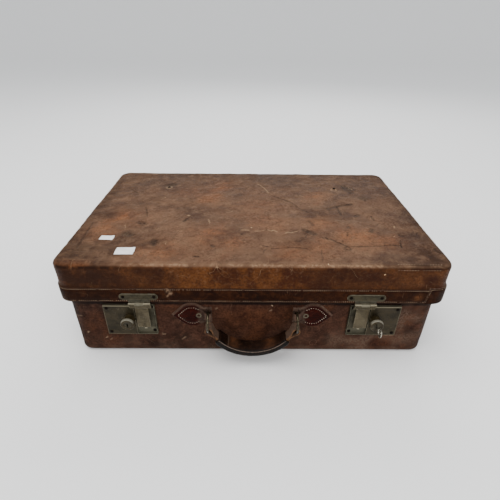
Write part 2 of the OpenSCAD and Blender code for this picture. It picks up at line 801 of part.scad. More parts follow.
// Flap that hangs from the outer knuckles, steps in to the lock and carries a staple
module flap() {
    side_w = (hasp_roll_w - hasp_mid_w) / 2 - apart;
    shoulder_drop = 9.5;
    shoulder_z = hasp_z - shoulder_drop;
    step_z = shoulder_z - 3.5;
    step_t = 0.6;
    low_z = hasp_z - flap_l;
    flap_y = front_y - flap_d;
    staple_h = nose_h + 8;
    tongue_w = 4;
    tongue_h = 2.5;
    color("#7c7865") translate([-hasp_x, 0, 0]) {
        difference() {
            union() {
                for (x0 = [-hasp_roll_w / 2, hasp_mid_w / 2 + apart])
                    translate([0, hasp_y, hasp_z]) knuckle(x0, side_w, hasp_roll_r, hasp_pin_r + running);
                translate([-hasp_roll_w / 2, 0, 0]) rotate([90, 0, 90]) linear_extrude(hasp_roll_w) polygon([
                    [band_front_y, hasp_z], [band_front_y - sheet_t, hasp_z],
                    [band_front_y - sheet_t, shoulder_z],
                    [flap_y - sheet_t, step_z], [flap_y - sheet_t, low_z], [flap_y, low_z],
                    [flap_y, step_z + step_t], [band_front_y, shoulder_z + step_t]]);
            }
            translate([-hasp_mid_w / 2 - apart, hasp_y - hasp_roll_w, hasp_z - hasp_roll_r - apart])
                cube([hasp_mid_w + 2 * apart, 2 * hasp_roll_w, 2 * hasp_roll_w]);
            for (side = [0, 1]) mirror([side, 0, 0])
                translate([flap_w / 2, flap_y - flap_w / 2, low_z - past])
                    cube([hasp_roll_w, flap_w, shoulder_z - low_z]);
            translate([-hasp_roll_w, hasp_y, hasp_z]) rotate([0, 90, 0])
                cylinder(r = hasp_pin_r + running, h = 2 * hasp_roll_w);
        }
        translate([-flap_w / 2, flap_y - eps, lock_z - staple_h / 2]) difference() {
            cube([staple_t, flap_d - staple_back + eps, staple_h]);
            translate([-past, flap_d - nose_front - eye_clear, (staple_h - nose_h) / 2 - eye_clear])
                cube([staple_t + 2 * past, nose_t + 2 * eye_clear, nose_h + 2 * eye_clear]);
        }
        translate([0, flap_y - sheet_t, low_z - tongue_h]) cube([tongue_w, sheet_t, tongue_h + eps]);
    }
}

module hasp_pins() {
    color("#8a8468") both_sides() translate([-hasp_x - hasp_roll_w / 2, hasp_y, hasp_z])
        rotate([0, 90, 0]) cylinder(r = hasp_pin_r, h = hasp_roll_w);
}

module hasp_rivets() {
    color("#2e2b20") both_sides() for (side = [-1, 1])
        translate([side * hasp_rivet_x - hasp_x, band_front_y - sheet_t, hasp_plate_z]) rotate([90, 0, 0])
            rivet(sheet_t + band_t + wall_t, lock_head_r, lock_head_r);
}

// Two blank paper labels stuck on the lid near its front left corner
module paper_labels() {
    color("#e8e4da") {
        translate([label_x - label_l / 2, label_y - label_w / 2, case_h]) cube([label_l, label_w, paper_t]);
        translate([small_label_x - small_label_l / 2, small_label_y - small_label_w / 2, case_h])
            cube([small_label_l, small_label_w, paper_t]);
    }
}

module to_right() {
    mirror([1, 0, 0]) children();
}

body_leather();
body_board();
body_lining();
mouth_binding();
lock_plate();  // left_lock_plate
to_right() lock_plate();  // right_lock_plate
lock_cover();  // left_lock_cover
to_right() lock_cover();  // right_lock_cover
barrel();  // left_barrel
to_right() barrel();  // right_barrel
key_plug();  // left_key_plug
to_right() key_plug();  // right_key_plug
bolt();  // left_bolt
to_right() bolt();  // right_bolt
key();
lock_rivets();
tab();  // left_tab
to_right() tab();  // right_tab
tab_patches();
tab_rivets();
ring();  // left_ring
to_right() ring();  // right_ring
handle_strap();
handle_grip();
hinge_body_leaves();
hinge_pins();
hinge_body_rivets();
lid_leather();
lid_board();
lid_lining();
lid_band();
band_lap();
lid_top_rivets();
hasp_plate();  // left_hasp_plate
to_right() hasp_plate();  // right_hasp_plate
flap();  // left_flap
to_right() flap();  // right_flap
hasp_pins();
hasp_rivets();
hinge_lid_leaves();
hinge_lid_rivets();
paper_labels();
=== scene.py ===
import json
import math

import bmesh
import bpy
import numpy as np
from mathutils import Matrix, Vector

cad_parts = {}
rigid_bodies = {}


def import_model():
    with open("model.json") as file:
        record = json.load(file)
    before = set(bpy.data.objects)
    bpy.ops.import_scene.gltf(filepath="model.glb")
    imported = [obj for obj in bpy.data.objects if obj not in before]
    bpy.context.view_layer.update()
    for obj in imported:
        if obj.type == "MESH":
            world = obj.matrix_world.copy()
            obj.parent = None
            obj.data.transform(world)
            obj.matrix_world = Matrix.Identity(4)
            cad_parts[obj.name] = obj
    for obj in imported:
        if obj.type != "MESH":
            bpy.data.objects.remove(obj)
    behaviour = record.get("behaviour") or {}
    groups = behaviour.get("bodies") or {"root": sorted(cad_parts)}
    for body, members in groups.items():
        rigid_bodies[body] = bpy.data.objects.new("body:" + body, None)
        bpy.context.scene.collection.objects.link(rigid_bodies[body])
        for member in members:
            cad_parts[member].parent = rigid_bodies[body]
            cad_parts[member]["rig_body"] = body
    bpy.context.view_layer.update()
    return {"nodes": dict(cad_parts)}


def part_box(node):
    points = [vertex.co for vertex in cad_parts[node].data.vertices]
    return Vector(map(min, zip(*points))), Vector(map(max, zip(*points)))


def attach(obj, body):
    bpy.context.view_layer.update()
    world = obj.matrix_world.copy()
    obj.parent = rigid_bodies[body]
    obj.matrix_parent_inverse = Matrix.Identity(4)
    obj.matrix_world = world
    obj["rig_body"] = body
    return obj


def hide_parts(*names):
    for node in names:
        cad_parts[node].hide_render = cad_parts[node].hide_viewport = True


# Old leather travel case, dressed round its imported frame: +X right, +Y back, +Z up.
# Shapes are worked out in millimetres, and newPiece turns them into metres.
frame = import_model()
mm = 0.001
boxOf = {name: [np.array(corner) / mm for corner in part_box(name)] for name in frame["nodes"]}
weldReach = 0.002 * mm


# The sizes of a tray from its node's box, with what else it is given
def trayCut(node, **others):
    low, high = boxOf[node]
    return {"length": high[0] - low[0], "depth": high[1] - low[1], "low": low[2], "high": high[2], **others}


# Mesh helpers

def addObject(name, data):
    item = bpy.data.objects.new(name, data)
    bpy.context.scene.collection.objects.link(item)
    return item


# A piece from its points and faces; marks are values at each point, which the leather reads
def newPiece(name, shape, material, body, replaces=(), marks=None, weld=True):
    verts, faces = shape
    mesh = bpy.data.meshes.new(name)
    mesh.from_pydata((verts * mm).tolist(), [], [list(face) for face in faces])
    for label, values in (marks or {}).items():
        layer = mesh.attributes.new(label, "FLOAT", "POINT")
        layer.data.foreach_set("value", np.broadcast_to(values, len(verts)).astype(np.float32))
    if weld:
        bm = bmesh.new()
        bm.from_mesh(mesh)
        bmesh.ops.remove_doubles(bm, verts=bm.verts, dist=weldReach)
        bm.to_mesh(mesh)
        bm.free()
    mesh.shade_smooth()
    mesh.materials.append(finish[material])
    piece = addObject(name, mesh)
    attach(piece, body)
    if replaces:
        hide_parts(*replaces)
    return piece


def joinShapes(shapes):
    verts, faces, first = [], [], 0
    for shapeVerts, shapeFaces in shapes:
        verts.append(shapeVerts)
        faces.extend([[index + first for index in face] for face in shapeFaces])
        first += len(shapeVerts)
    return np.vstack(verts), faces


def flipped(faces):
    return [tuple(reversed(face)) for face in faces]


def mirrored(shape):
    return shape[0] * (-1, 1, 1), flipped(shape[1])


def gridFaces(rows, columns, loop=False):
    faces = []
    for row in range(rows - 1):
        for column in range(columns if loop else columns - 1):
            a = row * columns + column
            b = row * columns + (column + 1) % columns
            faces.append((a, b, b + columns, a + columns))
    return faces


# Faces of a row of rings with closed ends
def tubeFaces(rings, sides):
    ends = [range(sides), reversed(range((rings - 1) * sides, rings * sides))]
    return flipped(gridFaces(rings, sides, loop=True)) + [tuple(end) for end in ends]


def ringAngles(sides):
    return np.arange(sides) * 2 * math.pi / sides


def smoothStep(low, high, value):
    t = np.clip((value - low) / (high - low), 0, 1)
    return t * t * (3 - 2 * t)


def bell(value, middle, width):
    return np.exp(-((value - middle) / width) ** 2)


def unit(vectors):
    return vectors / np.linalg.norm(vectors, axis=-1, keepdims=True)


# A power that keeps the sign: it squares up a sine or cosine
def squared(value, power):
    return np.copysign(np.abs(value) ** power, value)


def smoothed(path, rounds):
    for _ in range(rounds):
        path[1:-1] = (path[:-2] + 2 * path[1:-1] + path[2:]) / 4
    return path


# Seeded sum of sine waves, about -1 to 1, with features of the given size
def ripple(points, size, seed, waves=20):
    rng = np.random.default_rng(seed)
    total = np.zeros(len(points))
    for _ in range(waves):
        direction = unit(rng.normal(size=3))
        turns = points @ direction / (size * rng.uniform(0.6, 1.8))
        total += np.sin(turns * 2 * math.pi + rng.uniform(0, 6.28))
    return total / math.sqrt(waves)


# Points and outward normals round a rounded rectangle, anticlockwise from the front left,
# with the inner corner of its arcs and the count of points along its sides
def roundOutline(cut, step):
    radius = cut["radius"]
    halfX, halfY = cut["length"] / 2 - radius, cut["depth"] / 2 - radius
    counts = (round(2 * halfX / step), round(2 * halfY / step))
    arcCount = max(8, round(radius * math.pi / 2 / step))
    corners = np.array([(-halfX, -halfY, 0), (halfX, -halfY, 0), (halfX, halfY, 0), (-halfX, halfY, 0)])
    core, angles = [], []
    for side in range(4):
        start, end = corners[side], corners[(side + 1) % 4]
        facing, count = math.radians(90 * side - 90), counts[side % 2]
        core += [start + (end - start) * k / count for k in range(count)] + [end] * arcCount
        angles += [facing] * count + [facing + math.pi / 2 * k / arcCount for k in range(arcCount)]
    normal = np.column_stack([np.cos(angles), np.sin(angles), np.zeros(len(angles))])
    return np.array(core) + normal * radius, normal, (halfX, halfY), counts


# The points of a level line moved outwards and up
def moved(line, facing, out, up):
    return line + facing * np.reshape(out, (-1, 1)) + np.outer(np.broadcast_to(up, len(line)), (0, 0, 1))


# Sweeps a section of points, each out from the outline and up, round the outline
def sweepSection(rim, normal, section):
    rings = [moved(rim, normal, *point[:2]) for point in section]
    return np.vstack(rings), gridFaces(len(section), len(rim), loop=True)


# A tray upside down: a lip, walls, a rounded edge and a top panel,
# with the outward direction of each point
def trayShape(cut):
    radius, edge, step = cut["radius"], cut["edge"], cut["step"]
    low, high, thick = cut["low"], cut["high"], cut["leather"]
    rim, normal, inner, counts = roundOutline(cut, step)
    section = [(-thick, low + 6, 0, 0), (-thick, low + 0.5, 0, 0), (0.5 - thick, low, 0, 0),
               (-0.6, low, 0, 0), (-0.15, low + 0.15, 0, 0)]
    wallCount = round((high - edge - low) / step)
    section += [(0, z, 1, 0) for z in np.linspace(low + 0.6, high - edge, wallCount + 1)]
    for angle in np.linspace(0, math.pi / 2, 7)[1:]:
        out, up = math.cos(angle), math.sin(angle)
        section.append((edge * (out - 1), high + edge * (up - 1), out, up))
    panelCount = max(2, round((radius - edge) / step))
    section += [(out, high, 0, 1) for out in np.linspace(-edge, -radius, panelCount + 1)[1:]]
    outward = [moved(0 * rim, normal, *point[2:]) for point in section]
    gridX, gridY = np.meshgrid(*(np.linspace(-half, half, count + 1) for half, count in zip(inner, counts)))
    panel = np.column_stack([gridX.ravel(), gridY.ravel(), np.full(gridX.size, high)])
    verts, faces = joinShapes([sweepSection(rim, normal, section), (panel, gridFaces(*gridX.shape))])
    return verts, faces, np.vstack(outward + [np.tile([0, 0, 1], (len(panel), 1))])


# Distance of flat points from a line through the given places
def awayFrom(points, path):
    away = np.full(len(points), np.inf)
    for start, end in zip(path[:-1], path[1:]):
        span = end - start
        t = np.clip((points - start) @ span / (span @ span), 0, 1)
        away = np.minimum(away, np.linalg.norm(points - start - t[:, None] * span, axis=1))
    return away


# 1 on a stroke and 0 away from it; a stroke is its places and its width
def strokeMask(points, strokes):
    mask = np.zeros(len(points))
    for path, width in strokes:
        mask = np.maximum(mask, 1 - smoothStep(0.3 * width, width, awayFrom(points, np.array(path, float))))
    return mask


# A tube along a path with a rounded flat section; across is the section's wide direction
def ribbonShape(path, across, wide, thick, sides, power):
    c, s = (squared(turn(ringAngles(sides)), 2 / power) for turn in (np.cos, np.sin))
    rings = []
    for point, along, width in zip(path, unit(np.gradient(path, axis=0)), np.broadcast_to(wide, len(path))):
        flat = unit(across - along * np.dot(across, along))
        rings.append(point + np.outer(c * width / 2, flat) + np.outer(s * thick / 2, np.cross(along, flat)))
    return np.vstack(rings), tubeFaces(len(path), sides)


# Short arched threads at an even pitch along a line; outward is the way that its surface faces
def stitchShape(line, outward, cut, seed, loop=False):
    outward = np.broadcast_to(outward, line.shape)
    if loop:
        line, outward = np.vstack([line, line[:1]]), np.vstack([outward, outward[:1]])
    run = np.concatenate([[0], np.cumsum(np.linalg.norm(np.diff(line, axis=0), axis=1))])
    count = int(run[-1] / cut["pitch"])
    at = (np.arange(count) + 0.5) * run[-1] / count

    def between(values, shift=0.0):
        return np.column_stack([np.interp(at + shift, run, column) for column in values.T])

    rng = np.random.default_rng(seed)
    kept = rng.random(count) > cut["lost"]
    places, along = between(line)[kept], unit(between(line, 0.2) - between(line, -0.2))[kept]
    facing = between(outward)[kept]
    facing = unit(facing - along * np.sum(facing * along, axis=1)[:, None])
    count = len(places)
    lean = cut["slant"] + rng.normal(0, 0.06, count)
    slant = unit(along + np.cross(facing, along) * lean[:, None])
    side = np.cross(facing, slant)
    half = cut["length"] / 2 * rng.uniform(0.85, 1.1, count)
    verts = []
    for t, share in ((-1, 0.3), (-0.6, 0.9), (0, 1), (0.6, 0.9), (1, 0.3)):
        for angle in ringAngles(6):
            radius = share * cut["thick"] / 2
            lift = cut["proud"] - cut["thick"] * t * t + math.sin(angle) * radius
            middle = places + slant * (half * t)[:, None]
            verts.append(middle + side * math.cos(angle) * radius + facing * lift)
    one = tubeFaces(5, 6)
    faces = [tuple(index + len(verts) * n for index in face) for n in range(count) for face in one]
    return np.stack(verts, axis=1).reshape(-1, 3), faces


# Shader helpers: a node goes to the tree that is given, or to the one that holds the given socket

def isSocket(value):
    return isinstance(value, bpy.types.NodeSocket)


def setInputs(node, inputs):
    for label, value in inputs.items():
        if isSocket(value):
            node.id_data.links.new(value, node.inputs[label])
        else:
            node.inputs[label].default_value = value


def addNode(home, kind, inputs=None, **settings):
    node = home.id_data.nodes.new(kind if kind.startswith("NodeGroup") else "ShaderNode" + kind)
    for label, value in settings.items():
        setattr(node, label, value)
    setInputs(node, inputs or {})
    return node


def objectPlace(tree):
    return addNode(tree, "TexCoord").outputs["Object"]


def doMath(operation, a, b=0.0, clamp=False):
    home = a if isSocket(a) else b
    return addNode(home, "Math", {0: a, 1: b}, operation=operation, use_clamp=clamp).outputs[0]


def times(a, b):
    return doMath("MULTIPLY", a, b)


def plus(a, b):
    return doMath("ADD", a, b)


def minus(a, b):
    return doMath("SUBTRACT", a, b)


def most(a, b):
    return doMath("MAXIMUM", a, b)


def absolute(a):
    return doMath("ABSOLUTE", a)


def mapRange(value, low, high, start=0.0, end=1.0):
    inputs = {"Value": value, "From Min": low, "From Max": high, "To Min": start, "To Max": end}
    return addNode(value, "MapRange", inputs, interpolation_type="SMOOTHSTEP").outputs["Result"]


def noiseOf(place, scale, detail, **inputs):
    inputs.update({"Vector": place, "Scale": scale, "Detail": detail})
    dimensions = "4D" if "W" in inputs else "3D"
    return addNode(place, "TexNoise", inputs, noise_dimensions=dimensions).outputs["Fac"]


# Screen colour of 0 to 255 to the shader's own
def colourOf(tint):
    parts = [part / 255 for part in tint]
    return (*(part / 12.92 if part <= 0.04045 else ((part + 0.055) / 1.055) ** 2.4 for part in parts), 1)


def mixColour(mask, a, b):
    a, b = (value if isSocket(value) else colourOf(value) for value in (a, b))
    return addNode(mask, "Mix", {0: mask, 6: a, 7: b}, data_type="RGBA").outputs[2]


# The place moved a little by fine noise
def warped(place, scale, reach):
    noise = addNode(place, "TexNoise", {"Vector": place, "Scale": scale, "Detail": 2.0})
    shift = addNode(place, "VectorMath", {0: noise.outputs["Color"], "Scale": reach}, operation="SCALE")
    return addNode(place, "VectorMath", {0: place, 1: shift.outputs[0]}, operation="ADD").outputs[0]


# Cloudy patches of the given count to the metre
def mottleMask(given, place):
    noise = noiseOf(place, given["Scale"], 5.0, W=given["Seed"], Roughness=0.62, Distortion=0.4)
    return mapRange(noise, given["Low"], given["High"])


# Pebbled skin: small rounded cells with fine pores
def grainHeight(given, place):
    inputs = {"Vector": warped(place, 220.0, 0.002), "Scale": given["Cells"]}
    cells = addNode(place, "TexVoronoi", inputs, feature="DISTANCE_TO_EDGE")
    pores = times(noiseOf(place, 2600.0, 2.0), given["Pores"])
    return plus(mapRange(cells.outputs["Distance"], 0.0, 0.28), pores)


# Thin wandering lines, such as fine scratches and creases
def hairlineMask(given, place):
    noise = noiseOf(place, given["Scale"], 1.5, W=given["Seed"], Distortion=1.2)
    line = minus(1.0, mapRange(absolute(minus(noise, 0.5)), 0.0, given["Width"]))
    return times(line, mapRange(noiseOf(place, 34.0, 2.0), 0.5, 0.62))


# Scattered flecks of paint, lint and missing finish
def fleckMask(given, place):
    inputs = {"Vector": warped(place, 400.0, 0.004), "Scale": given["Scale"]}
    cells = addNode(place, "TexVoronoi", inputs)
    pick = addNode(place, "SeparateColor", {0: cells.outputs["Color"]}).outputs[0]
    near = doMath("LESS_THAN", cells.outputs["Distance"], given["Size"])
    return times(near, doMath("LESS_THAN", pick, given["Share"]))


# Rubbed edges: 1 where the surface turns within the given radius, broken up by noise
def edgeMask(given, place):
    soft = addNode(place, "Bevel", {"Radius": given["Radius"]}, samples=6).outputs[0]
    true = addNode(place, "NewGeometry").outputs["Normal"]
    dot = addNode(place, "VectorMath", {0: soft, 1: true}, operation="DOT_PRODUCT").outputs["Value"]
    turn = doMath("MULTIPLY", minus(1.0, dot), given["Gain"], clamp=True)
    return times(turn, mapRange(noiseOf(place, given["Break"], 4.0), 0.35, 0.6))


# Over-and-under threads of a plain cloth
def weaveHeight(given, place):
    inputs = {"Vector": place, "Scale": given["Threads"], "Distortion": 0.6, "Detail": 1.0}
    x, y, z = (addNode(place, "TexWave", inputs, bands_direction=axis).outputs["Fac"] for axis in "XYZ")
    return plus(times(x, y), z)


# 1 at the rim of an upright plate on either side of the case, 0 further in
def rimMask(given, place):
    across, _, up = addNode(place, "SeparateXYZ", {0: place}).outputs
    insetX = minus(given["HalfX"], absolute(minus(absolute(across), given["CentreX"])))
    insetZ = minus(given["HalfZ"], absolute(minus(up, given["CentreZ"])))
    rim = minus(1.0, mapRange(doMath("MINIMUM", insetX, insetZ), 0.0, given["Width"]))
    return times(rim, mapRange(noiseOf(place, 140.0, 2.0), 0.3, 0.55, 0.4, 1.0))


# A level stripe with soft sides at a height above the floor
def stripeMask(given, place):
    up = addNode(place, "SeparateXYZ", {0: place}).outputs[2]
    away = absolute(minus(up, given["Middle"]))
    return mapRange(away, given["Half"], times(given["Half"], 0.5), 0.0, given["Strength"])


# Each effect: how it is built, its output and its inputs
groupCuts = {
    "mottle": (mottleMask, "Mask", {"Scale": 20.0, "Low": 0.4, "High": 0.6, "Seed": 0.0}),
    "leatherGrain": (grainHeight, "Height", {"Cells": 800.0, "Pores": 0.3}),
    "hairlines": (hairlineMask, "Mask", {"Scale": 12.0, "Width": 0.006, "Seed": 0.0}),
    "flecks": (fleckMask, "Mask", {"Scale": 90.0, "Size": 0.1, "Share": 0.1}),
    "edgeWear": (edgeMask, "Mask", {"Radius": 0.001, "Gain": 4.0, "Break": 60.0}),
    "weave": (weaveHeight, "Height", {"Threads": 700.0}),
    "plateRim": (rimMask, "Mask", {"CentreX": 0.2, "CentreZ": 0.1, "HalfX": 0.02, "HalfZ": 0.02,
                                   "Width": 0.002}),
    "levelStripe": (stripeMask, "Mask", {"Middle": 0.1, "Half": 0.002, "Strength": 0.5}),
}


def makeGroup(name, build, output, inputs):
    tree = bpy.data.node_groups.new(name, "ShaderNodeTree")
    for label, value in inputs.items():
        socket = tree.interface.new_socket(label, in_out="INPUT", socket_type="NodeSocketFloat")
        socket.default_value = value
    tree.interface.new_socket(output, in_out="OUTPUT", socket_type="NodeSocketFloat")
    start = addNode(tree, "NodeGroupInput")
    addNode(tree, "NodeGroupOutput", {output: build(start.outputs, objectPlace(tree))})
    return tree


groups = {name: makeGroup(name, *cut) for name, cut in groupCuts.items()}


def useGroup(tree, name, **values):
    return addNode(tree, "Group", values, node_tree=groups[name]).outputs[0]


def newMaterial(name):
    material = bpy.data.materials.new(name)
    material.use_nodes = True
    tree = material.node_tree
    tree.nodes.clear()
    shader = addNode(tree, "BsdfPrincipled")
    addNode(tree, "OutputMaterial", {0: shader.outputs[0]})
    return material, tree, shader


def setBump(shader, height, strength, distance):
    bump = addNode(height, "Bump", {"Height": height, "Strength": strength, "Distance": distance * mm})
    setInputs(shader, {"Normal": bump.outputs[0]})


# Leather: cloudy dye; darkened and rubbed places from the mesh's own marks, painted shade and painted
# highlights among them; grain, scratches and flecks
def makeLeather(name, cut):
    cut = {**leatherBase, **cut}
    material, tree, shader = newMaterial(name)

    def mottled(share, low, high, shift):
        scale, seed = cut["clouds"] * share, cut["seed"] + shift
        return useGroup(tree, "mottle", Scale=scale, Low=low, High=high, Seed=seed)

    def scratches(share, width, shift):
        scale, seed = cut["lines"] * share, cut["seed"] + shift
        return useGroup(tree, "hairlines", Scale=scale, Width=width, Seed=seed)

    def mark(label):
        return addNode(tree, "Attribute", attribute_name=label).outputs["Fac"]

    clouds, drift = mottled(1, 0.38, 0.62, 0), mottled(2.6, 0.36, 0.64, 11)
    spots, glints = mottled(5.5, 0.44, 0.66, 3), mottled(17, 0.5, 0.72, 9)
    speckle = mottled(24, 0.42, 0.64, 5)
    broken = mapRange(speckle, 0.0, 0.7, 0.5, 1.0)
    colour = mixColour(clouds, cut["dark"], cut["mid"])
    colour = mixColour(times(spots, cut["spots"]), colour, cut["light"])
    rich = mixColour(drift, cut.get("richDark", cut["dark"]), cut.get("richLight", cut["mid"]))
    colour = mixColour(mark("rich"), colour, rich)
    if "warm" in cut:
        colour = mixColour(times(mark("glow"), mapRange(drift, 0.0, 1.0, 0.4, 1.0)), colour, cut["warm"])
    colour = mixColour(times(glints, cut["fine"] * 0.6), colour, cut["light"])
    colour = mixColour(times(speckle, cut["fine"]), colour, cut["deep"])
    # The shade mark: darker tone, and painted shade where a piece sets it
    colour = mixColour(times(mark("shade"), mapRange(spots, 0.0, 1.0, 1.0, 0.55)), colour, cut["deep"])
    dark = most(times(mark("marks"), broken), times(scratches(1, 0.004, 0), 0.75))
    colour = mixColour(dark, colour, cut["mark"])
    flecks = useGroup(tree, "flecks", **dict(zip(("Scale", "Size", "Share"), cut["flecks"])))
    scuffs = most(most(times(mark("scuffs"), broken), flecks), times(scratches(1.7, 0.002, 7), 0.4))
    colour = mixColour(scuffs, colour, cut["scuff"])
    edges = useGroup(tree, "edgeWear", Radius=cut["edge"] * mm, Gain=cut["edgeGain"], Break=70.0)
    rub = times(most(mark("rub"), edges), mapRange(speckle, 0.0, 0.7, 0.35, 1.0))
    colour = mixColour(rub, colour, cut["rub"])
    rough = mapRange(plus(clouds, speckle), 0.0, 2.0, *cut["gloss"])
    rough = doMath("ADD", rough, times(rub, 0.15), clamp=True)
    grain = useGroup(tree, "leatherGrain", Cells=cut["grain"], Pores=0.4)
    setBump(shader, plus(minus(grain, times(dark, 1.6)), times(spots, 0.8)), cut["relief"], 0.25)
    setInputs(shader, {"Base Color": colour, "Roughness": rough, "Specular IOR Level": cut["shine"]})
    return material


# Old plated metal: cloudy patina, brighter rubbed edges and rims, painted highlights in level stripes and
# on an arc, painted shadow in dark stripes, fine scratches
def makeMetal(name, cut):
    cut = {**metalBase, **cut}
    material, tree, shader = newMaterial(name)

    def stripe(middle, half, strength):
        return useGroup(tree, "levelStripe", Middle=middle * mm, Half=half * mm, Strength=strength)

    clouds = useGroup(tree, "mottle", Scale=cut["clouds"], Low=0.38, High=0.62, Seed=cut["seed"])
    spots = useGroup(tree, "mottle", Scale=cut["clouds"] * 6, Low=0.45, High=0.7, Seed=cut["seed"] + 2)
    colour = mixColour(clouds, cut["dark"], cut["mid"])
    colour = mixColour(times(spots, 0.5), colour, cut["light"])
    lines = useGroup(tree, "hairlines", Scale=60.0, Width=0.003, Seed=cut["seed"])
    edges = useGroup(tree, "edgeWear", Radius=cut["edge"] * mm, Gain=cut["edgeGain"], Break=160.0)
    bright = most(edges, times(lines, 0.3))
    if "rim" in cut:
        labels = ("CentreX", "CentreZ", "HalfX", "HalfZ", "Width")
        rim = {label: value * mm for label, value in zip(labels, cut["rim"])}
        bright = most(bright, times(useGroup(tree, "plateRim", **rim), cut["rimShine"]))
    # Painted highlight: a bright arc on the upper side of a round face
    if "arc" in cut:
        centreX, centreZ, radius, width = (value * mm for value in cut["arc"])
        across, _, up = addNode(tree, "SeparateXYZ", {0: objectPlace(tree)}).outputs
        across, above = minus(absolute(across), centreX), minus(up, centreZ)
        away = doMath("SQRT", plus(times(across, across), times(above, above)))
        arc = mapRange(away, radius - width, radius - 0.6 * width, 0.0, cut["arcShine"])
        bright = most(bright, times(arc, mapRange(above, 0.1 * radius, 0.7 * radius)))
    # Painted highlights and painted light in level stripes
    for place in cut["highlightStripes"]:
        bright = most(bright, stripe(*place))
    colour = mixColour(bright, colour, cut["bright"])
    # Painted shadow in level stripes, in a dark tint
    for place in cut["shadowStripes"]:
        colour = mixColour(stripe(*place), colour, cut["dirtAndShadow"])
    rough = doMath("SUBTRACT", mapRange(spots, 0.0, 1.0, *cut["gloss"]), times(bright, 0.12), clamp=True)
    metal = mapRange(most(bright, spots), 0.0, 1.0, *cut["metal"])
    setBump(shader, plus(noiseOf(objectPlace(tree), 900.0, 3.0), times(clouds, 1.5)), 0.35, 0.1)
    setInputs(shader, {"Base Color": colour, "Roughness": rough, "Metallic": metal,
                       "Specular IOR Level": cut["shine"]})
    return material


# Thread, cloth, board and paper: a tinted base with dirt and a small relief
def makeFibre(name, cut):
    material, tree, shader = newMaterial(name)
    dirtAndShadow = useGroup(tree, "mottle", Scale=cut["clouds"], Low=0.4, High=0.68, Seed=cut["seed"])
    if "weave" in cut:
        height = useGroup(tree, "weave", Threads=cut["weave"])
    else:
        height = noiseOf(objectPlace(tree), 1500.0, 3.0)
    setBump(shader, height, 0.5, 0.2)
    setInputs(shader, {"Base Color": mixColour(dirtAndShadow, cut["clean"], cut["dirty"]), "Roughness": 0.85})
    return material


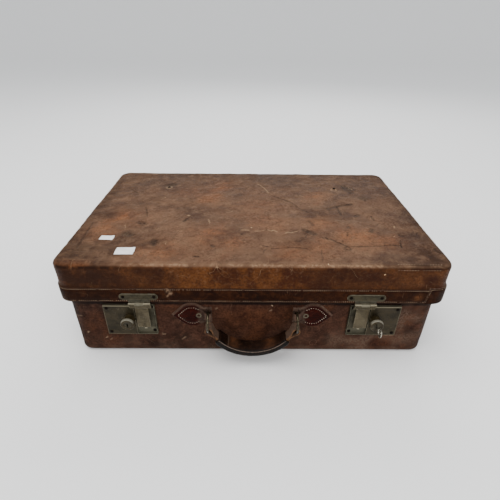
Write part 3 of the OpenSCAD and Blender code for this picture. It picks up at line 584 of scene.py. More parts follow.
# Tints are screen colours, clouds and lines are counted to the metre, edges are in millimetres,
# and flecks give their count to the metre, their size and their share
leatherBase = {"spots": 0.5, "fine": 0.4, "flecks": (110.0, 0.1, 0.02), "edge": 0.6, "edgeGain": 0.0,
               "gloss": (0.5, 0.7), "grain": 900.0, "relief": 0.35, "shine": 0.08}
leatherCuts = {
    "lidLeather": {
        "dark": (66, 45, 33), "mid": (95, 69, 52), "light": (116, 90, 69), "deep": (36, 20, 12),
        "richDark": (54, 24, 8), "richLight": (91, 53, 24), "warm": (136, 84, 50), "mark": (24, 15, 10),
        "scuff": (176, 146, 112), "rub": (146, 116, 90), "clouds": 11.0, "seed": 1.0, "lines": 9.0,
        "spots": 0.4, "fine": 0.5, "flecks": (70.0, 0.1, 0.02), "gloss": (0.42, 0.66), "relief": 0.4,
        "shine": 0.04},
    "bodyLeather": {
        "dark": (39, 22, 14), "mid": (62, 39, 29), "light": (85, 56, 42), "deep": (24, 14, 10),
        "richDark": (41, 20, 11), "richLight": (83, 49, 30), "mark": (20, 13, 10), "scuff": (140, 116, 94),
        "rub": (104, 84, 70), "clouds": 13.0, "seed": 11.0, "lines": 11.0, "spots": 0.55, "fine": 0.5,
        "flecks": (60.0, 0.1, 0.05), "edge": 1.0, "gloss": (0.5, 0.72), "grain": 800.0, "relief": 0.45,
        "shine": 0.04},
    "bandLeather": {
        "dark": (25, 9, 4), "mid": (40, 19, 8), "light": (65, 35, 15), "deep": (22, 11, 6),
        "richDark": (80, 46, 23), "richLight": (116, 72, 40), "mark": (18, 11, 8), "scuff": (128, 102, 80),
        "rub": (110, 88, 74), "clouds": 16.0, "seed": 21.0, "lines": 12.0, "fine": 0.45, "edge": 0.8,
        "edgeGain": 0.8, "flecks": (60.0, 0.12, 0.03), "gloss": (0.45, 0.66), "relief": 0.4, "shine": 0.03},
    "tabLeather": {
        "dark": (25, 4, 2), "mid": (40, 7, 3), "light": (61, 17, 7), "deep": (18, 7, 5),
        "richDark": (58, 44, 36), "richLight": (84, 68, 57), "mark": (16, 8, 6), "scuff": (130, 104, 84),
        "rub": (132, 106, 90), "clouds": 45.0, "seed": 31.0, "lines": 30.0, "flecks": (120.0, 0.1, 0.03),
        "edge": 0.7, "edgeGain": 1.0, "gloss": (0.3, 0.48), "grain": 1000.0, "relief": 0.25, "shine": 0.03},
    "patchLeather": {
        "dark": (58, 42, 34), "mid": (84, 64, 53), "light": (108, 86, 73), "deep": (34, 22, 17),
        "mark": (22, 15, 12), "scuff": (140, 118, 100), "rub": (134, 110, 94),
        "clouds": 40.0, "seed": 41.0, "lines": 30.0, "flecks": (120.0, 0.1, 0.02),
        "edgeGain": 1.2},
    "gripLeather": {
        "dark": (20, 10, 6), "mid": (36, 21, 14), "light": (52, 33, 22), "deep": (8, 6, 5),
        "richDark": (60, 38, 25), "richLight": (88, 54, 33), "mark": (12, 8, 7), "scuff": (150, 124, 104),
        "rub": (150, 130, 116), "clouds": 30.0, "seed": 51.0, "lines": 26.0, "spots": 0.45, "edge": 0.8,
        "gloss": (0.34, 0.54), "relief": 0.3},
    "strapLeather": {
        "dark": (46, 35, 29), "mid": (70, 54, 45), "light": (96, 74, 60), "deep": (22, 15, 11),
        "richDark": (68, 42, 25), "richLight": (120, 84, 54), "mark": (14, 9, 8), "scuff": (160, 134, 112),
        "rub": (120, 96, 80), "clouds": 36.0, "seed": 61.0, "lines": 26.0, "edgeGain": 0.6},
    "bindingLeather": {
        "dark": (38, 20, 13), "mid": (60, 34, 22), "light": (82, 50, 32), "deep": (22, 13, 10),
        "mark": (18, 12, 9), "scuff": (140, 112, 90), "rub": (110, 80, 60),
        "clouds": 20.0, "seed": 71.0, "lines": 18.0, "flecks": (80.0, 0.1, 0.02),
        "edge": 0.8, "edgeGain": 1.0, "gloss": (0.45, 0.65), "shine": 0.2},
}
# In millimetres: painted highlight stripes and painted shadow stripes give a height, a half width and a
# strength, a rim its centre, its half sizes and its width, and a painted highlight arc its centre, its
# radius and its width
metalBase = {"edgeGain": 1.0, "shine": 0.15, "gloss": (0.42, 0.6), "metal": (0.35, 0.7), "highlightStripes": (),
             "shadowStripes": ()}
metalCuts = {
    "coverMetal": {
        "dark": (28, 23, 12), "mid": (47, 40, 26), "light": (66, 58, 41), "bright": (170, 160, 134),
        "clouds": 60.0, "seed": 81.0, "edge": 1.2, "rim": (215, 75.5, 24.5, 30.5, 1.4), "rimShine": 0.2,
        # Painted highlight along the cover's top edge
        "highlightStripes": [(105.8, 2.0, 0.32)]},
    "hingeMetal": {
        "dark": (30, 25, 15), "mid": (50, 43, 29), "light": (70, 62, 45), "bright": (150, 140, 116),
        "clouds": 60.0, "seed": 82.0, "edge": 0.9, "edgeGain": 1.2, "metal": (0.3, 0.6)},
    "barrelMetal": {
        "dark": (33, 26, 13), "mid": (50, 41, 24), "light": (65, 56, 35), "bright": (226, 220, 200),
        "clouds": 90.0, "seed": 83.0, "edge": 1.0, "edgeGain": 0.7, "shine": 0.12, "gloss": (0.3, 0.46),
        # Painted highlight on the upper rim of the barrel's face
        "metal": (0.0, 0.2), "arc": (199.7, 79, 11, 1.9), "arcShine": 0.17},
    "plugMetal": {
        "dark": (30, 26, 16), "mid": (50, 44, 30), "light": (76, 70, 52), "bright": (176, 168, 144),
        "clouds": 120.0, "seed": 84.0, "edge": 0.6, "edgeGain": 0.8, "shine": 0.2, "gloss": (0.34, 0.5),
        "metal": (0.4, 0.7)},
    "haspMetal": {
        "dark": (35, 31, 19), "mid": (55, 49, 34), "light": (75, 68, 50), "bright": (182, 174, 150),
        "clouds": 70.0, "seed": 87.0, "edge": 0.8, "edgeGain": 1.5, "gloss": (0.38, 0.56),
        # Painted highlight along the knuckles, and painted shadow on the neck under the lid's edge
        "rim": (177.5, 128, 30, 6, 1.2), "rimShine": 0.22, "highlightStripes": [(116.9, 1.4, 0.16)],
        "shadowStripes": [(120.6, 2.3, 0.75)], "dirtAndShadow": (20, 16, 9)},
    "trayMetal": {
        # Lighter than the cover's metal, with a lighter stripe low down: painted light in the recess's
        # shade
        "dark": (39, 36, 26), "mid": (60, 56, 43), "light": (78, 73, 57), "bright": (160, 154, 132),
        "clouds": 70.0, "seed": 85.0, "edge": 0.9, "edgeGain": 1.5, "shine": 0.1, "gloss": (0.5, 0.7),
        "metal": (0.05, 0.3), "highlightStripes": [(50, 9, 0.1)]},
    "flapMetal": {
        "dark": (54, 47, 32), "mid": (79, 70, 52), "light": (98, 89, 69), "bright": (214, 204, 176),
        "clouds": 60.0, "seed": 91.0, "edge": 0.9, "edgeGain": 3.0, "shine": 0.2, "gloss": (0.36, 0.54),
        # Painted highlights along the knuckles and near the lower end, and painted shade just below the
        # knuckles
        "metal": (0.45, 0.75), "highlightStripes": [(116.9, 1.4, 0.16), (59.5, 1.5, 0.7)],
        "shadowStripes": [(110.4, 1.6, 0.6)], "dirtAndShadow": (28, 22, 13)},
    "keyMetal": {
        "dark": (96, 90, 78), "mid": (140, 134, 120), "light": (170, 164, 150), "bright": (226, 222, 206),
        "clouds": 120.0, "seed": 95.0, "edge": 0.6, "edgeGain": 2.5, "shine": 0.5, "gloss": (0.22, 0.4),
        "metal": (0.85, 1.0)},
    "ringMetal": {
        "dark": (38, 32, 22), "mid": (66, 58, 44), "light": (98, 88, 68), "bright": (200, 186, 146),
        "clouds": 120.0, "seed": 99.0, "edge": 0.8, "shine": 0.25, "gloss": (0.16, 0.32),
        "metal": (0.75, 0.95)},
    "rivetMetal": {
        "dark": (10, 6, 4), "mid": (18, 12, 8), "light": (28, 20, 13), "bright": (64, 54, 40),
        "clouds": 200.0, "seed": 103.0, "edge": 0.5, "edgeGain": 0.3, "shine": 0.03, "gloss": (0.5, 0.7),
        "metal": (0.0, 0.1)},
}
fibreCuts = {
    "thread": {"clean": (158, 136, 110), "dirty": (84, 64, 48), "clouds": 45.0, "seed": 111.0},
    "tabThread": {"clean": (222, 206, 184), "dirty": (168, 142, 118), "clouds": 90.0, "seed": 113.0},
    "darkThread": {"clean": (120, 98, 82), "dirty": (70, 52, 42), "clouds": 90.0, "seed": 115.0},
    "liningCloth": {"clean": (150, 128, 94), "dirty": (112, 92, 66), "clouds": 9.0, "seed": 117.0,
                    "weave": 420.0},
    "fibreBoard": {"clean": (150, 122, 86), "dirty": (116, 90, 60), "clouds": 40.0, "seed": 119.0},
    "labelPaper": {"clean": (232, 230, 226), "dirty": (206, 202, 194), "clouds": 40.0, "seed": 121.0},
}
finish = {}
for make, cuts in ((makeLeather, leatherCuts), (makeMetal, metalCuts), (makeFibre, fibreCuts)):
    finish.update({name: make(name, cut) for name, cut in cuts.items()})
print("materials made:", len(finish))

# Camera and light

cameraCut = {"place": (-10.1, -651.6, 495.5), "pitch": 31.83, "turn": 0.604, "roll": 0.713, "lens": 26.78}
lightCuts = {
    "overheadLight": {"place": (-0.5, -0.3, 2.3), "size": (2.2, 1.6), "power": 46.0},
    "frontLight": {"place": (0.9, -2.2, 1.5), "size": (1.8, 1.4), "power": 26.0},
    "backLight": {"place": (0.4, 1.9, 1.7), "size": (2.0, 1.0), "power": 20.0},
}
floorCut = {"tint": (248, 247, 245), "half": 14.0, "bend": 5.0, "radius": 3.0, "top": 9.0}
worldCut = {"Color": (0.93, 0.96, 1.0, 1), "Strength": 0.95}


def makeCamera():
    cut = cameraCut
    pitch, turn, roll = (math.radians(cut[key]) for key in ("pitch", "turn", "roll"))
    ahead = Vector((math.sin(turn) * math.cos(pitch), math.cos(turn) * math.cos(pitch), -math.sin(pitch)))
    right = ahead.cross(Vector((0, 0, 1))).normalized()
    up = right.cross(ahead)
    rolledRight = right * math.cos(roll) + up * math.sin(roll)
    rolledUp = up * math.cos(roll) - right * math.sin(roll)
    data = bpy.data.cameras.new("photoCamera")
    data.lens = cut["lens"]
    data.sensor_width = 36
    camera = addObject("photoCamera", data)
    turned = Matrix((rolledRight, rolledUp, -ahead)).transposed().to_4x4()
    camera.matrix_world = Matrix.Translation(Vector(cut["place"]) * mm) @ turned
    bpy.context.scene.camera = camera


def makeLight(name, cut):
    data = bpy.data.lights.new(name, "AREA")
    data.shape = "RECTANGLE"
    data.size, data.size_y = cut["size"]
    data.energy = cut["power"]
    light = addObject(name, data)
    light.location = cut["place"]
    light.rotation_euler = (Vector((0, 0, 0.1)) - light.location).to_track_quat("-Z", "Y").to_euler()


# A pale sheet, in metres, that lies flat and curves up far behind the case
def makeFloor():
    half, bend, radius = floorCut["half"], floorCut["bend"], floorCut["radius"]
    material, _, shader = newMaterial("paleFloor")
    tint = colourOf(floorCut["tint"])
    setInputs(shader, {"Base Color": tint, "Roughness": 0.9, "Specular IOR Level": 0.2})
    profile = [(-half, 0.0), (0.0, 0.0), (bend, 0.0)]
    for angle in np.linspace(0, math.pi / 2, 13)[1:]:
        profile.append((bend + radius * math.sin(angle), radius - radius * math.cos(angle)))
    profile.append((bend + radius, floorCut["top"]))
    verts = [(x, y, z) for y, z in profile for x in (-half, half)]
    mesh = bpy.data.meshes.new("floor")
    mesh.from_pydata(verts, [], [(2 * k, 2 * k + 1, 2 * k + 3, 2 * k + 2) for k in range(len(profile) - 1)])
    mesh.shade_smooth()
    mesh.materials.append(material)
    floor = addObject("floor", mesh)


makeCamera()
for name, cut in lightCuts.items():
    makeLight(name, cut)
makeFloor()
world = bpy.data.worlds.new("studio")
world.use_nodes = True
setInputs(world.node_tree.nodes["Background"], worldCut)
bpy.context.scene.world = world
print("camera, lights and floor made")

# Lid: leather tray with rubbed edges, scratches and a crack

lidCut = trayCut("lid_leather", radius=23, edge=8, leather=2.5, step=1.8, sag=0.5, sagReach=(305, 197),
                 dents=0.22, crack=0.5)
# Dark cuts, spots and stains on the lid's top: places across and back from the middle, and a width
lidDarkStrokes = [
    ([(117, -110), (122, -111), (126, -116), (131, -116), (135, -119), (138, -125), (142, -126),
      (148, -133)], 3.2),
    ([(148, -133), (152, -138), (149, -141), (146, -147), (155, -149), (158, -144), (152, -138)], 3.0),
    ([(160, -138), (200, -136), (229, -132), (241, -134)], 2.2), ([(236, -191.6), (284, -191.6)], 2.0),
    ([(245, -118), (243, -130), (240, -141)], 2.4), ([(203, 117), (205, 100), (209, 84)], 12.0),
    ([(212, 108), (216, 96)], 8.0), ([(226, 56), (229, 46)], 10.0),
    ([(146, 3), (170, 15), (196, 23)], 6.0), ([(165, 18), (167, -24)], 3.4), ([(110, 8), (146, 3)], 2.0),
    ([(193, -28), (199, -24)], 6.0), ([(222, -28), (223, -44)], 3.0), ([(206, -86), (208, -80)], 8.0),
    ([(168, -74), (170, -71)], 5.0), ([(164, -92), (161, -104)], 2.4), ([(104, -50), (108, -64)], 5.0),
    ([(50, 57), (66, 44), (77, 35), (85, 20), (91, 7), (99, -3), (107, -12)], 2.8),
    ([(20, 88), (36, 70), (50, 57)], 1.4), ([(90, -84), (97, -92), (105, -98)], 7.0),
    ([(109, -151), (107, -165), (106, -181)], 1.4), ([(-215, -101), (-208, -106)], 9.0),
    ([(-200, -60), (-194, -64)], 9.0), ([(-162, -124), (-160, -136)], 9.0),
    ([(-92, -171), (-84, -172)], 3.0), ([(-66, -137), (-64, -141)], 5.0),
    ([(-180, 112), (-172, 116)], 14.0), ([(-20, -38), (34, -38)], 1.2),
    ([(-284, -60), (-282, -110), (-279, -150)], 2.2), ([(-300, -152), (-262, -158)], 1.6),
    ([(-205, 4), (-198, -20), (-194, -34)], 2.0), ([(-262, 96), (-244, 78), (-236, 68)], 1.6),
    ([(-120, -42), (-124, -52)], 5.0), ([(30, -146), (64, -142), (92, -147)], 1.4),
    ([(250, -96), (254, -102)], 5.0),
]
lidPaleStrokes = [
    ([(27, -84), (33, -88), (36, -84), (42, -90)], 1.5),
    ([(56, -95), (61, -90), (66, -93), (76, -89)], 1.4),
    ([(13, 127), (20, 118), (26, 106), (31, 92), (35, 79)], 1.2), ([(253, -66), (251, -73)], 1.8),
    ([(4, -88), (20, -86)], 1.2), ([(-20, -84), (-6, -84)], 1.1), ([(-80, -46), (-76, -60)], 1.2),
    ([(100, 66), (108, 58)], 1.1), ([(-120, -28), (-117, -30)], 2.4),
]
# A pale ring round each rivet head
for across, back in ((-178, 102), (176, 96)):
    turns = np.linspace(0, 2 * math.pi, 15)
    lidPaleStrokes.append((np.column_stack([across + 6 * np.cos(turns), back + 6 * np.sin(turns)]), 1.3))
# Soft dark places on the lid's top, then warm ones: across, back, radius and strength
lidClouds = [
    (-268, -30, 24, 0.75), (-176, 112, 20, 0.7), (122, -26, 30, 0.55), (206, 96, 18, 0.7),
    (284, -168, 46, 0.95), (-162, -128, 20, 0.6), (-212, -106, 18, 0.55), (70, -137, 30, 0.5),
    (-4, 164, 44, 0.55), (96, -92, 12, 0.6), (-276, -164, 46, 0.9), (228, 52, 18, 0.5),
    (-236, -150, 30, 0.45), (-20, 60, 26, 0.3), (250, 140, 34, 0.35), (-120, 20, 34, 0.3),
    (40, -176, 30, 0.35), (180, 20, 24, 0.35), (20, -100, 20, 0.35), (-200, 40, 30, 0.3),
    (284, -104, 34, 0.6), (-238, -180, 34, 0.6), (240, -184, 30, 0.65),
]
lidGlows = [
    (-68, 112, 31, 0.54), (-87, 45, 34, 0.39), (-236, -42, 36, 0.62), (-258, -92, 26, 0.62),
    (-70, -104, 39, 0.54), (-46, -126, 34, 0.54), (122, -58, 31, 0.46), (172, -106, 34, 0.54),
    (212, -118, 29, 0.54), (104, -144, 34, 0.46), (132, 60, 23, 0.46), (-128, 72, 34, 0.39),
    (26, -60, 39, 0.31), (-150, -160, 39, 0.46), (60, -165, 39, 0.39), (10, 20, 52, 0.24),
]
# Darkness along the lid's front: across and strength
lidFrontShade = [
    (-300, 0.8), (-240, 0.85), (-190, 0.65), (-130, 0.5), (-95, 0.05), (50, 0.1), (110, 0.5), (300, 0.5),
]


# Strength of a set of soft round places at each point
def cloudMask(points, clouds):
    mask = np.zeros(len(points))
    bent = points + (ripple(np.column_stack([points, mask]), 30, 19) * 6)[:, None]
    for across, back, radius, strength in clouds:
        mask = np.maximum(mask, strength * bell(np.linalg.norm(bent - (across, back), axis=1), 0, radius))
    return mask


def lidMarks(verts):
    x, y, z = verts.T
    flat = verts[:, :2]
    top = smoothStep(177, 181, z)
    front = smoothStep(-190, -195, y) * (1 - smoothStep(180, 184, z))
    sides = (1 - top) * (1 - front)
    wander = ripple(verts, 90, 3)
    ends = smoothStep(258, 304, np.abs(x) + 9 * wander) * 0.75
    # Painted shade: the top darkens towards the back, where less light falls
    back = smoothStep(50, 185, y + 14 * wander) * 0.5
    middle = smoothStep(0.3, 1.0, ripple(verts, 120, 7)) * 0.15
    across, strength = np.array(lidFrontShade).T
    shade = top * np.maximum.reduce([ends, back, middle, cloudMask(flat, lidClouds)]) + sides * 0.5
    shade += front * np.interp(x + 12 * ripple(verts, 40, 5), across, strength)
    # Pale line along the front top edge: partly rubbed wear, partly a painted highlight on the rounded edge
    rub = bell(z, 183.6, 1.3) * (0.3 + 0.7 * smoothStep(-0.5, 0.6, ripple(verts, 20, 9)))
    rub *= np.where(y < -185, smoothStep(-262, -150, x), 0.6) * (1 - 0.6 * smoothStep(226, 244, x))
    worn = bell(z, 181.5, 3.4) * smoothStep(-232, -250, x + 8 * wander) * (y < -180)
    glow = np.maximum(top * cloudMask(flat, lidGlows), worn * 0.95)
    return {"rich": front * 0.95 + sides * 0.5, "glow": glow, "shade": np.clip(shade, 0, 1),
            "marks": strokeMask(flat, lidDarkStrokes) * top * 0.85,
            "scuffs": strokeMask(flat, lidPaleStrokes) * top * 0.55, "rub": np.clip(rub, 0, 1) * 0.85}


# Rise of the lid's top: it sags a little in the middle and has small dents
def lidRise(verts):
    reachX, reachY = lidCut["sagReach"]
    crown = (1 - (verts[:, 0] / reachX) ** 2) * (1 - (verts[:, 1] / reachY) ** 2)
    rise = lidCut["sag"] * (ripple(verts, 160, 13) - 1.2 * crown) + lidCut["dents"] * ripple(verts, 22, 17)
    return np.minimum(rise, 0.35)


def makeLid():
    verts, faces, outward = trayShape(lidCut)
    marks = lidMarks(verts)
    rise = lidRise(verts) * (0.25 + 0.75 * smoothStep(150, 178, verts[:, 2]))
    rise -= lidCut["crack"] * smoothStep(0.5, 0.8, marks["marks"])
    shape = (verts + outward * rise[:, None], faces)
    newPiece("lidSkin", shape, "lidLeather", "lid", ["lid_leather"], marks)


makeLid()
print("lid made")

# Band: leather strip with a groove for each row of stitches

bandCut = {
    "low": boxOf["lid_band"][0][2], "high": boxOf["lid_band"][1][2], "thick": 1.8, "step": 3,
    "rowIn": (2.6, 1.8), "groove": 0.4,
    "paleStrokes": [([(-134, 146), (-131, 141)], 3), ([(-132, 131), (-127, 134)], 2.5)],
    "stitch": {"pitch": 3.2, "length": 2.0, "thick": 0.95, "proud": 0.25, "slant": 0.2, "lost": 0.06},
}


def makeBand():
    cut = bandCut
    low, high, thick, groove = cut["low"], cut["high"], cut["thick"], cut["groove"]
    rim, normal = roundOutline(lidCut, cut["step"])[:2]
    rows = (low + cut["rowIn"][0], high - cut["rowIn"][1])
    grooves = [[(thick, row - 0.9), (thick - 0.7 * groove, row - 0.4), (thick - groove, row),
                (thick - 0.7 * groove, row + 0.4), (thick, row + 0.9)] for row in rows]
    section = [(-0.2, low + 0.1), (0.5, low - 0.1), (thick - 0.5, low), (thick, low + 0.5)] + grooves[0]
    section += [(thick + 0.15, low + 9), (thick + 0.2, (low + high) / 2), (thick + 0.15, high - 9)]
    section += grooves[1] + [(thick - 0.1, high - 0.5), (thick - 0.6, high), (-0.2, high + 0.1)]
    verts, faces = sweepSection(rim, normal, section)
    x, y, z = verts.T
    front = y < -190
    ends = smoothStep(190, 290, np.abs(x) + 14 * ripple(verts, 60, 23))
    scuffs = strokeMask(verts[:, [0, 2]], cut["paleStrokes"])
    marks = {"rich": bell(x, 259, 7) * bell(z, 130, 5) * front, "shade": ends * 0.55 + (y > -190) * 0.25,
             "rub": bell(z, low, 1.0) * 0.4 + bell(z, high, 0.9) * 0.25, "scuffs": scuffs * front * 0.8}
    newPiece("lidBand", (verts, faces), "bandLeather", "lid", ["lid_band"], marks)
    for number, name in enumerate(("bandStitchesLow", "bandStitchesHigh")):
        line = moved(rim, normal, thick - groove, rows[number])
        shape = stitchShape(line, normal, cut["stitch"], 200 + number, loop=True)
        newPiece(name, shape, "thread", "lid", weld=False)


makeBand()
print("band made")

# Lap over the band's joint at the front right corner, with a slanting end and its own stitches

lapLow, lapHigh = boxOf["band_lap"]
lapCut = {
    "startX": lapLow[0], "back": 30, "low": lapLow[2], "high": lapHigh[2], "slant": 5, "under": 1.8,
    "thick": 1.2, "columns": 60, "rows": 24, "stitchIn": 2.4, "groove": 0.35,
    "stitch": {"pitch": 2.9, "length": 2.2, "thick": 0.8, "proud": 0.1, "slant": 0.15, "lost": 0.08},
}
# Two worn seams over the front top edge near the right corner, and one over each end's
seamCut = {
    "from": 216, "to": 286, "tilts": (84, 14), "endTilt": 42, "count": 60,
    "stitch": {"pitch": 4.0, "length": 2.3, "thick": 1.0, "proud": 0.05, "slant": 0.3, "lost": 0.14},
}


# Points of the lid's outline at distances along the front from its middle, round the right corner
# and back, and the way that the outline faces there
def rightCorner(run):
    radius = lidCut["radius"]
    halfX, halfY = lidCut["length"] / 2 - radius, lidCut["depth"] / 2 - radius
    angle = np.clip((run - halfX) / radius, 0, math.pi / 2)
    facing = np.column_stack([np.sin(angle), -np.cos(angle), 0 * angle])
    back = np.maximum(run - halfX - radius * math.pi / 2, 0)
    return np.column_stack([np.minimum(run, halfX), back - halfY, 0 * run]) + radius * facing, facing


# How far out the lap's underside stands: on the band below, then close to the lid
def lapBase(z):
    onBand = 1 - smoothStep(bandCut["high"] - 0.5, bandCut["high"] + 1.5, z)
    return lapCut["under"] * (0.3 + 0.7 * onBand)


def lapStart(z):
    return lapCut["startX"] - lapCut["slant"] * (lapCut["high"] - z) / (lapCut["high"] - lapCut["low"])


def makeLap():
    cut = lapCut
    low, high, inset = cut["low"], cut["high"], cut["stitchIn"]
    endRun = lidCut["length"] / 2 - lidCut["radius"] * (1 - math.pi / 2) + cut["back"]
    u, v = np.meshgrid(np.linspace(0, 1, cut["columns"]), np.linspace(0, 1, cut["rows"]))
    u, v = ((0.5 - 0.5 * np.cos(np.pi * share)).ravel() for share in (u, v))
    z = low + (high - low) * v
    run = lapStart(z) + u * (endRun - lapStart(z))
    depth = np.minimum.reduce([run - lapStart(z), endRun - run, high - z, z - low + 2])
    out = lapBase(z) - 0.3 + (cut["thick"] + 0.3) * smoothStep(0, 0.9, depth)
    out -= cut["groove"] * bell(depth, inset, 0.5)
    shape = (moved(*rightCorner(run), out, z), gridFaces(cut["rows"], cut["columns"]))
    marks = {"shade": 0.35, "rub": bell(depth, 0, 0.8) * 0.8}
    newPiece("bandLap", shape, "bandLeather", "lid", ["band_lap"], marks)
    z = np.linspace(low + inset, high - inset, 20)
    run = lapStart(z) + inset
    level = np.linspace(run[-1], endRun - inset, 60)
    line, facing = rightCorner(np.concatenate([run, level]))
    z = np.concatenate([z, 0 * level + z[-1]])
    line = moved(line, facing, lapBase(z) + cut["thick"] - cut["groove"], z)
    shape = stitchShape(line, facing, cut["stitch"], 210)
    newPiece("lapStitches", shape, "thread", "lid", weld=False)


# The place of a tilt on the lid's rounded edge, as out and up, and the way that it faces
def edgePlace(tilt):
    out, up = math.cos(math.radians(tilt)), math.sin(math.radians(tilt))
    return -lidCut["edge"] * (1 - out), lidCut["high"] - lidCut["edge"] * (1 - up), out, up


def makeSeams():
    cut = seamCut
    rows, ends = [], []
    line, facing = rightCorner(np.linspace(cut["from"], cut["to"], cut["count"]))
    for number, tilt in enumerate(cut["tilts"]):
        out, z, faceOut, faceUp = edgePlace(tilt)
        outward = facing * faceOut + (0, 0, faceUp)
        rows.append(stitchShape(moved(line, facing, out, z), outward, cut["stitch"], 220 + number))
    out, z, faceOut, faceUp = edgePlace(cut["endTilt"])
    back = np.linspace(-1, 1, cut["count"]) * (lidCut["depth"] / 2 - lidCut["radius"])
    for side in (-1, 1):
        line = np.outer(back, (0, 1, 0)) + (side * (lidCut["length"] / 2 + out), 0, z)
        ends.append(stitchShape(line, (side * faceOut, 0, faceUp), cut["stitch"], 224 + side))
    newPiece("cornerSeams", joinShapes(rows), "thread", "lid", weld=False)
    newPiece("endSeams", joinShapes(ends), "tabThread", "lid", weld=False)


makeLap()
makeSeams()
print("lap and corner seams made")

# Body: deeper tray the other way up, scuffed near the ground

bodyCut = trayCut("body_leather", radius=20.9, edge=9, leather=2.5, step=2.2, sag=0.3, dents=0.12,
                  lockX=198.5, tabX=98)
bodyPaleStrokes = [
    ([(-277, 43), (-276, 44)], 1.8), ([(-248, 31), (-246, 33)], 1.8), ([(-241, 27), (-240, 28)], 1.6),
    ([(-118, 29), (-113, 34)], 1.5), ([(-152, 41), (-148, 40)], 1.8), ([(-170, 42), (-166, 41)], 1.6),
    ([(-60, 96), (-58, 97)], 1.6), ([(28, 92), (31, 94)], 1.6), ([(226, 41), (230, 40)], 1.8),
    ([(236, 40), (240, 41)], 1.6), ([(-292, 78), (-280, 79)], 1.4), ([(60, 20), (64, 22)], 1.5),
]


def makeBody():
    cut = bodyCut
    verts, faces, outward = trayShape(cut)
    verts[:, 2] = cut["low"] + cut["high"] - verts[:, 2]
    x, y, z = verts.T
    front = y < -180
    lock = smoothStep(60, 40, np.abs(np.abs(x) - cut["lockX"])) * smoothStep(30, 44, z) * front
    tab = smoothStep(42, 28, np.abs(np.abs(x) - cut["tabX"])) * smoothStep(50, 60, z) * front
    hinge = (y > 185) * smoothStep(60, 74, z)
    free = smoothStep(6, 14, z) * (1 - np.clip(lock + tab + hinge, 0, 1))
    rise = cut["sag"] * (ripple(verts, 130, 33) - 0.8) + cut["dents"] * ripple(verts, 25, 37)
    ends = smoothStep(230, 292, np.abs(x) + 12 * ripple(verts, 60, 41))
    ends *= np.where(front, np.where(x < 0, 0.55, 0.1), 0.2)
    # Darker towards the bottom
    lowDarkening = smoothStep(30, 4, z + 8 * ripple(verts, 40, 43))
    # Painted shadow: a dark line on the body just under the lid's edge, also drawn with the dark mark
    # colour
    lidEdgeShadow = smoothStep(103.5, 107.5, z)
    worn = 0.55 * bell(x, 180, 80) * bell(z, 26, 20) + 0.6 * bell(x, 262, 34) * bell(z, 70, 40)
    worn += 0.22 * bell(x, -170, 80) * bell(z, 22, 14)
    rub = smoothStep(16, 3, z + 5 * ripple(verts, 30, 47)) * (0.25 + 0.15 * (x > 0))
    rub += worn * smoothStep(-1.0, 0.9, ripple(verts, 34, 49))
    # Painted shade darkens the body's top under the lid's overhang, with the painted shadow line added on
    # it
    shade = ends + smoothStep(100, 116, z) * 0.5 + lidEdgeShadow + lowDarkening * 0.2
    shade += bell(np.abs(x), 198, 50) * bell(z, 74, 42) * front * 0.4
    rich = smoothStep(0.2, 1.0, ripple(verts, 100, 45)) * 0.7
    rich = np.maximum(rich, bell(x, 0, 60) * bell(z, 80, 28) * 0.9) * front
    scuffs = strokeMask(verts[:, [0, 2]], bodyPaleStrokes) * front * 0.7
    marks = {"rich": rich, "shade": np.clip(shade, 0, 1), "marks": lidEdgeShadow * 0.8, "scuffs": scuffs,
             "rub": np.clip(rub, 0, 1)}
    shape = (verts + outward * (1, 1, -1) * (free * np.minimum(rise, 0.1))[:, None], flipped(faces))
    newPiece("bodySkin", shape, "bodyLeather", "case_body", ["body_leather"], marks)


makeBody()

# Binding folded over the top of the body's walls, stitched on the inside
bindCut = {
    "low": boxOf["mouth_binding"][0][2], "high": boxOf["mouth_binding"][1][2], "wall": 5.6, "thick": 0.35,
    "step": 3, "stitchUp": 2,
    "stitch": {"pitch": 3.4, "length": 2.4, "thick": 0.7, "proud": 0.1, "slant": 0.15, "lost": 0.04},
}


def makeBinding():
    cut = bindCut
    low, high, wall, thick = cut["low"], cut["high"], cut["wall"], cut["thick"]
    rim, normal = roundOutline(bodyCut, cut["step"])[:2]
    section = [(0, low), (thick, low + 0.3), (0.4, high - 2.5)]
    section += [(-wall / 2 + (wall / 2 + 0.3) * math.cos(angle), high - 2 + 2 * math.sin(angle))
                for angle in np.linspace(0, math.pi, 9)]
    section += [(-wall - thick, high - 2.5), (-wall - thick, low + 0.3), (-wall, low)]
    shape = sweepSection(rim, normal, section)
    newPiece("mouthBinding", shape, "bindingLeather", "case_body", ["mouth_binding"])
    line = moved(rim, normal, -wall - thick, low + cut["stitchUp"])
    shape = stitchShape(line, -normal, cut["stitch"], 230, loop=True)
    newPiece("bindingStitches", shape, "thread", "case_body", weld=False)


makeBinding()
print("body and binding made")

# Tabs: leaf-shaped leather with a creased rim, a sewn padded middle and a fold round the ring

wallY = boxOf["body_leather"][0][1]
tabCut = {
    "tip": 129.5, "slope": 1.04, "knee": 3, "z": 84.6, "half": 22.3, "inner": 74.5, "patchInner": 66,
    "under": 1.0, "thick": 2.7, "patchRim": 2.0, "crease": 2.2, "stitchIn": 6.0, "puff": 0.9,
    "stitchEnd": -86, "groove": 0.35, "foldZ": 87, "foldHigh": 14, "foldWide": 27, "foldThick": 2.0,
    "stitch": {"pitch": 3.6, "length": 1.6, "thick": 1.1, "proud": 0.2, "slant": 0.12, "lost": 0.0},
}
# The fold's middle line: across from the case's middle, and out from the body's leather
foldLine = [
    (-86, 2.6), (-83, 2.9), (-80, 4.2), (-77.5, 6.6), (-75.4, 9.0), (-73, 10.2), (-70, 10.4),
    (-67.6, 9.8), (-66.6, 7.6), (-66.5, 4.8), (-66.9, 2.4), (-67.6, 0.9),
]


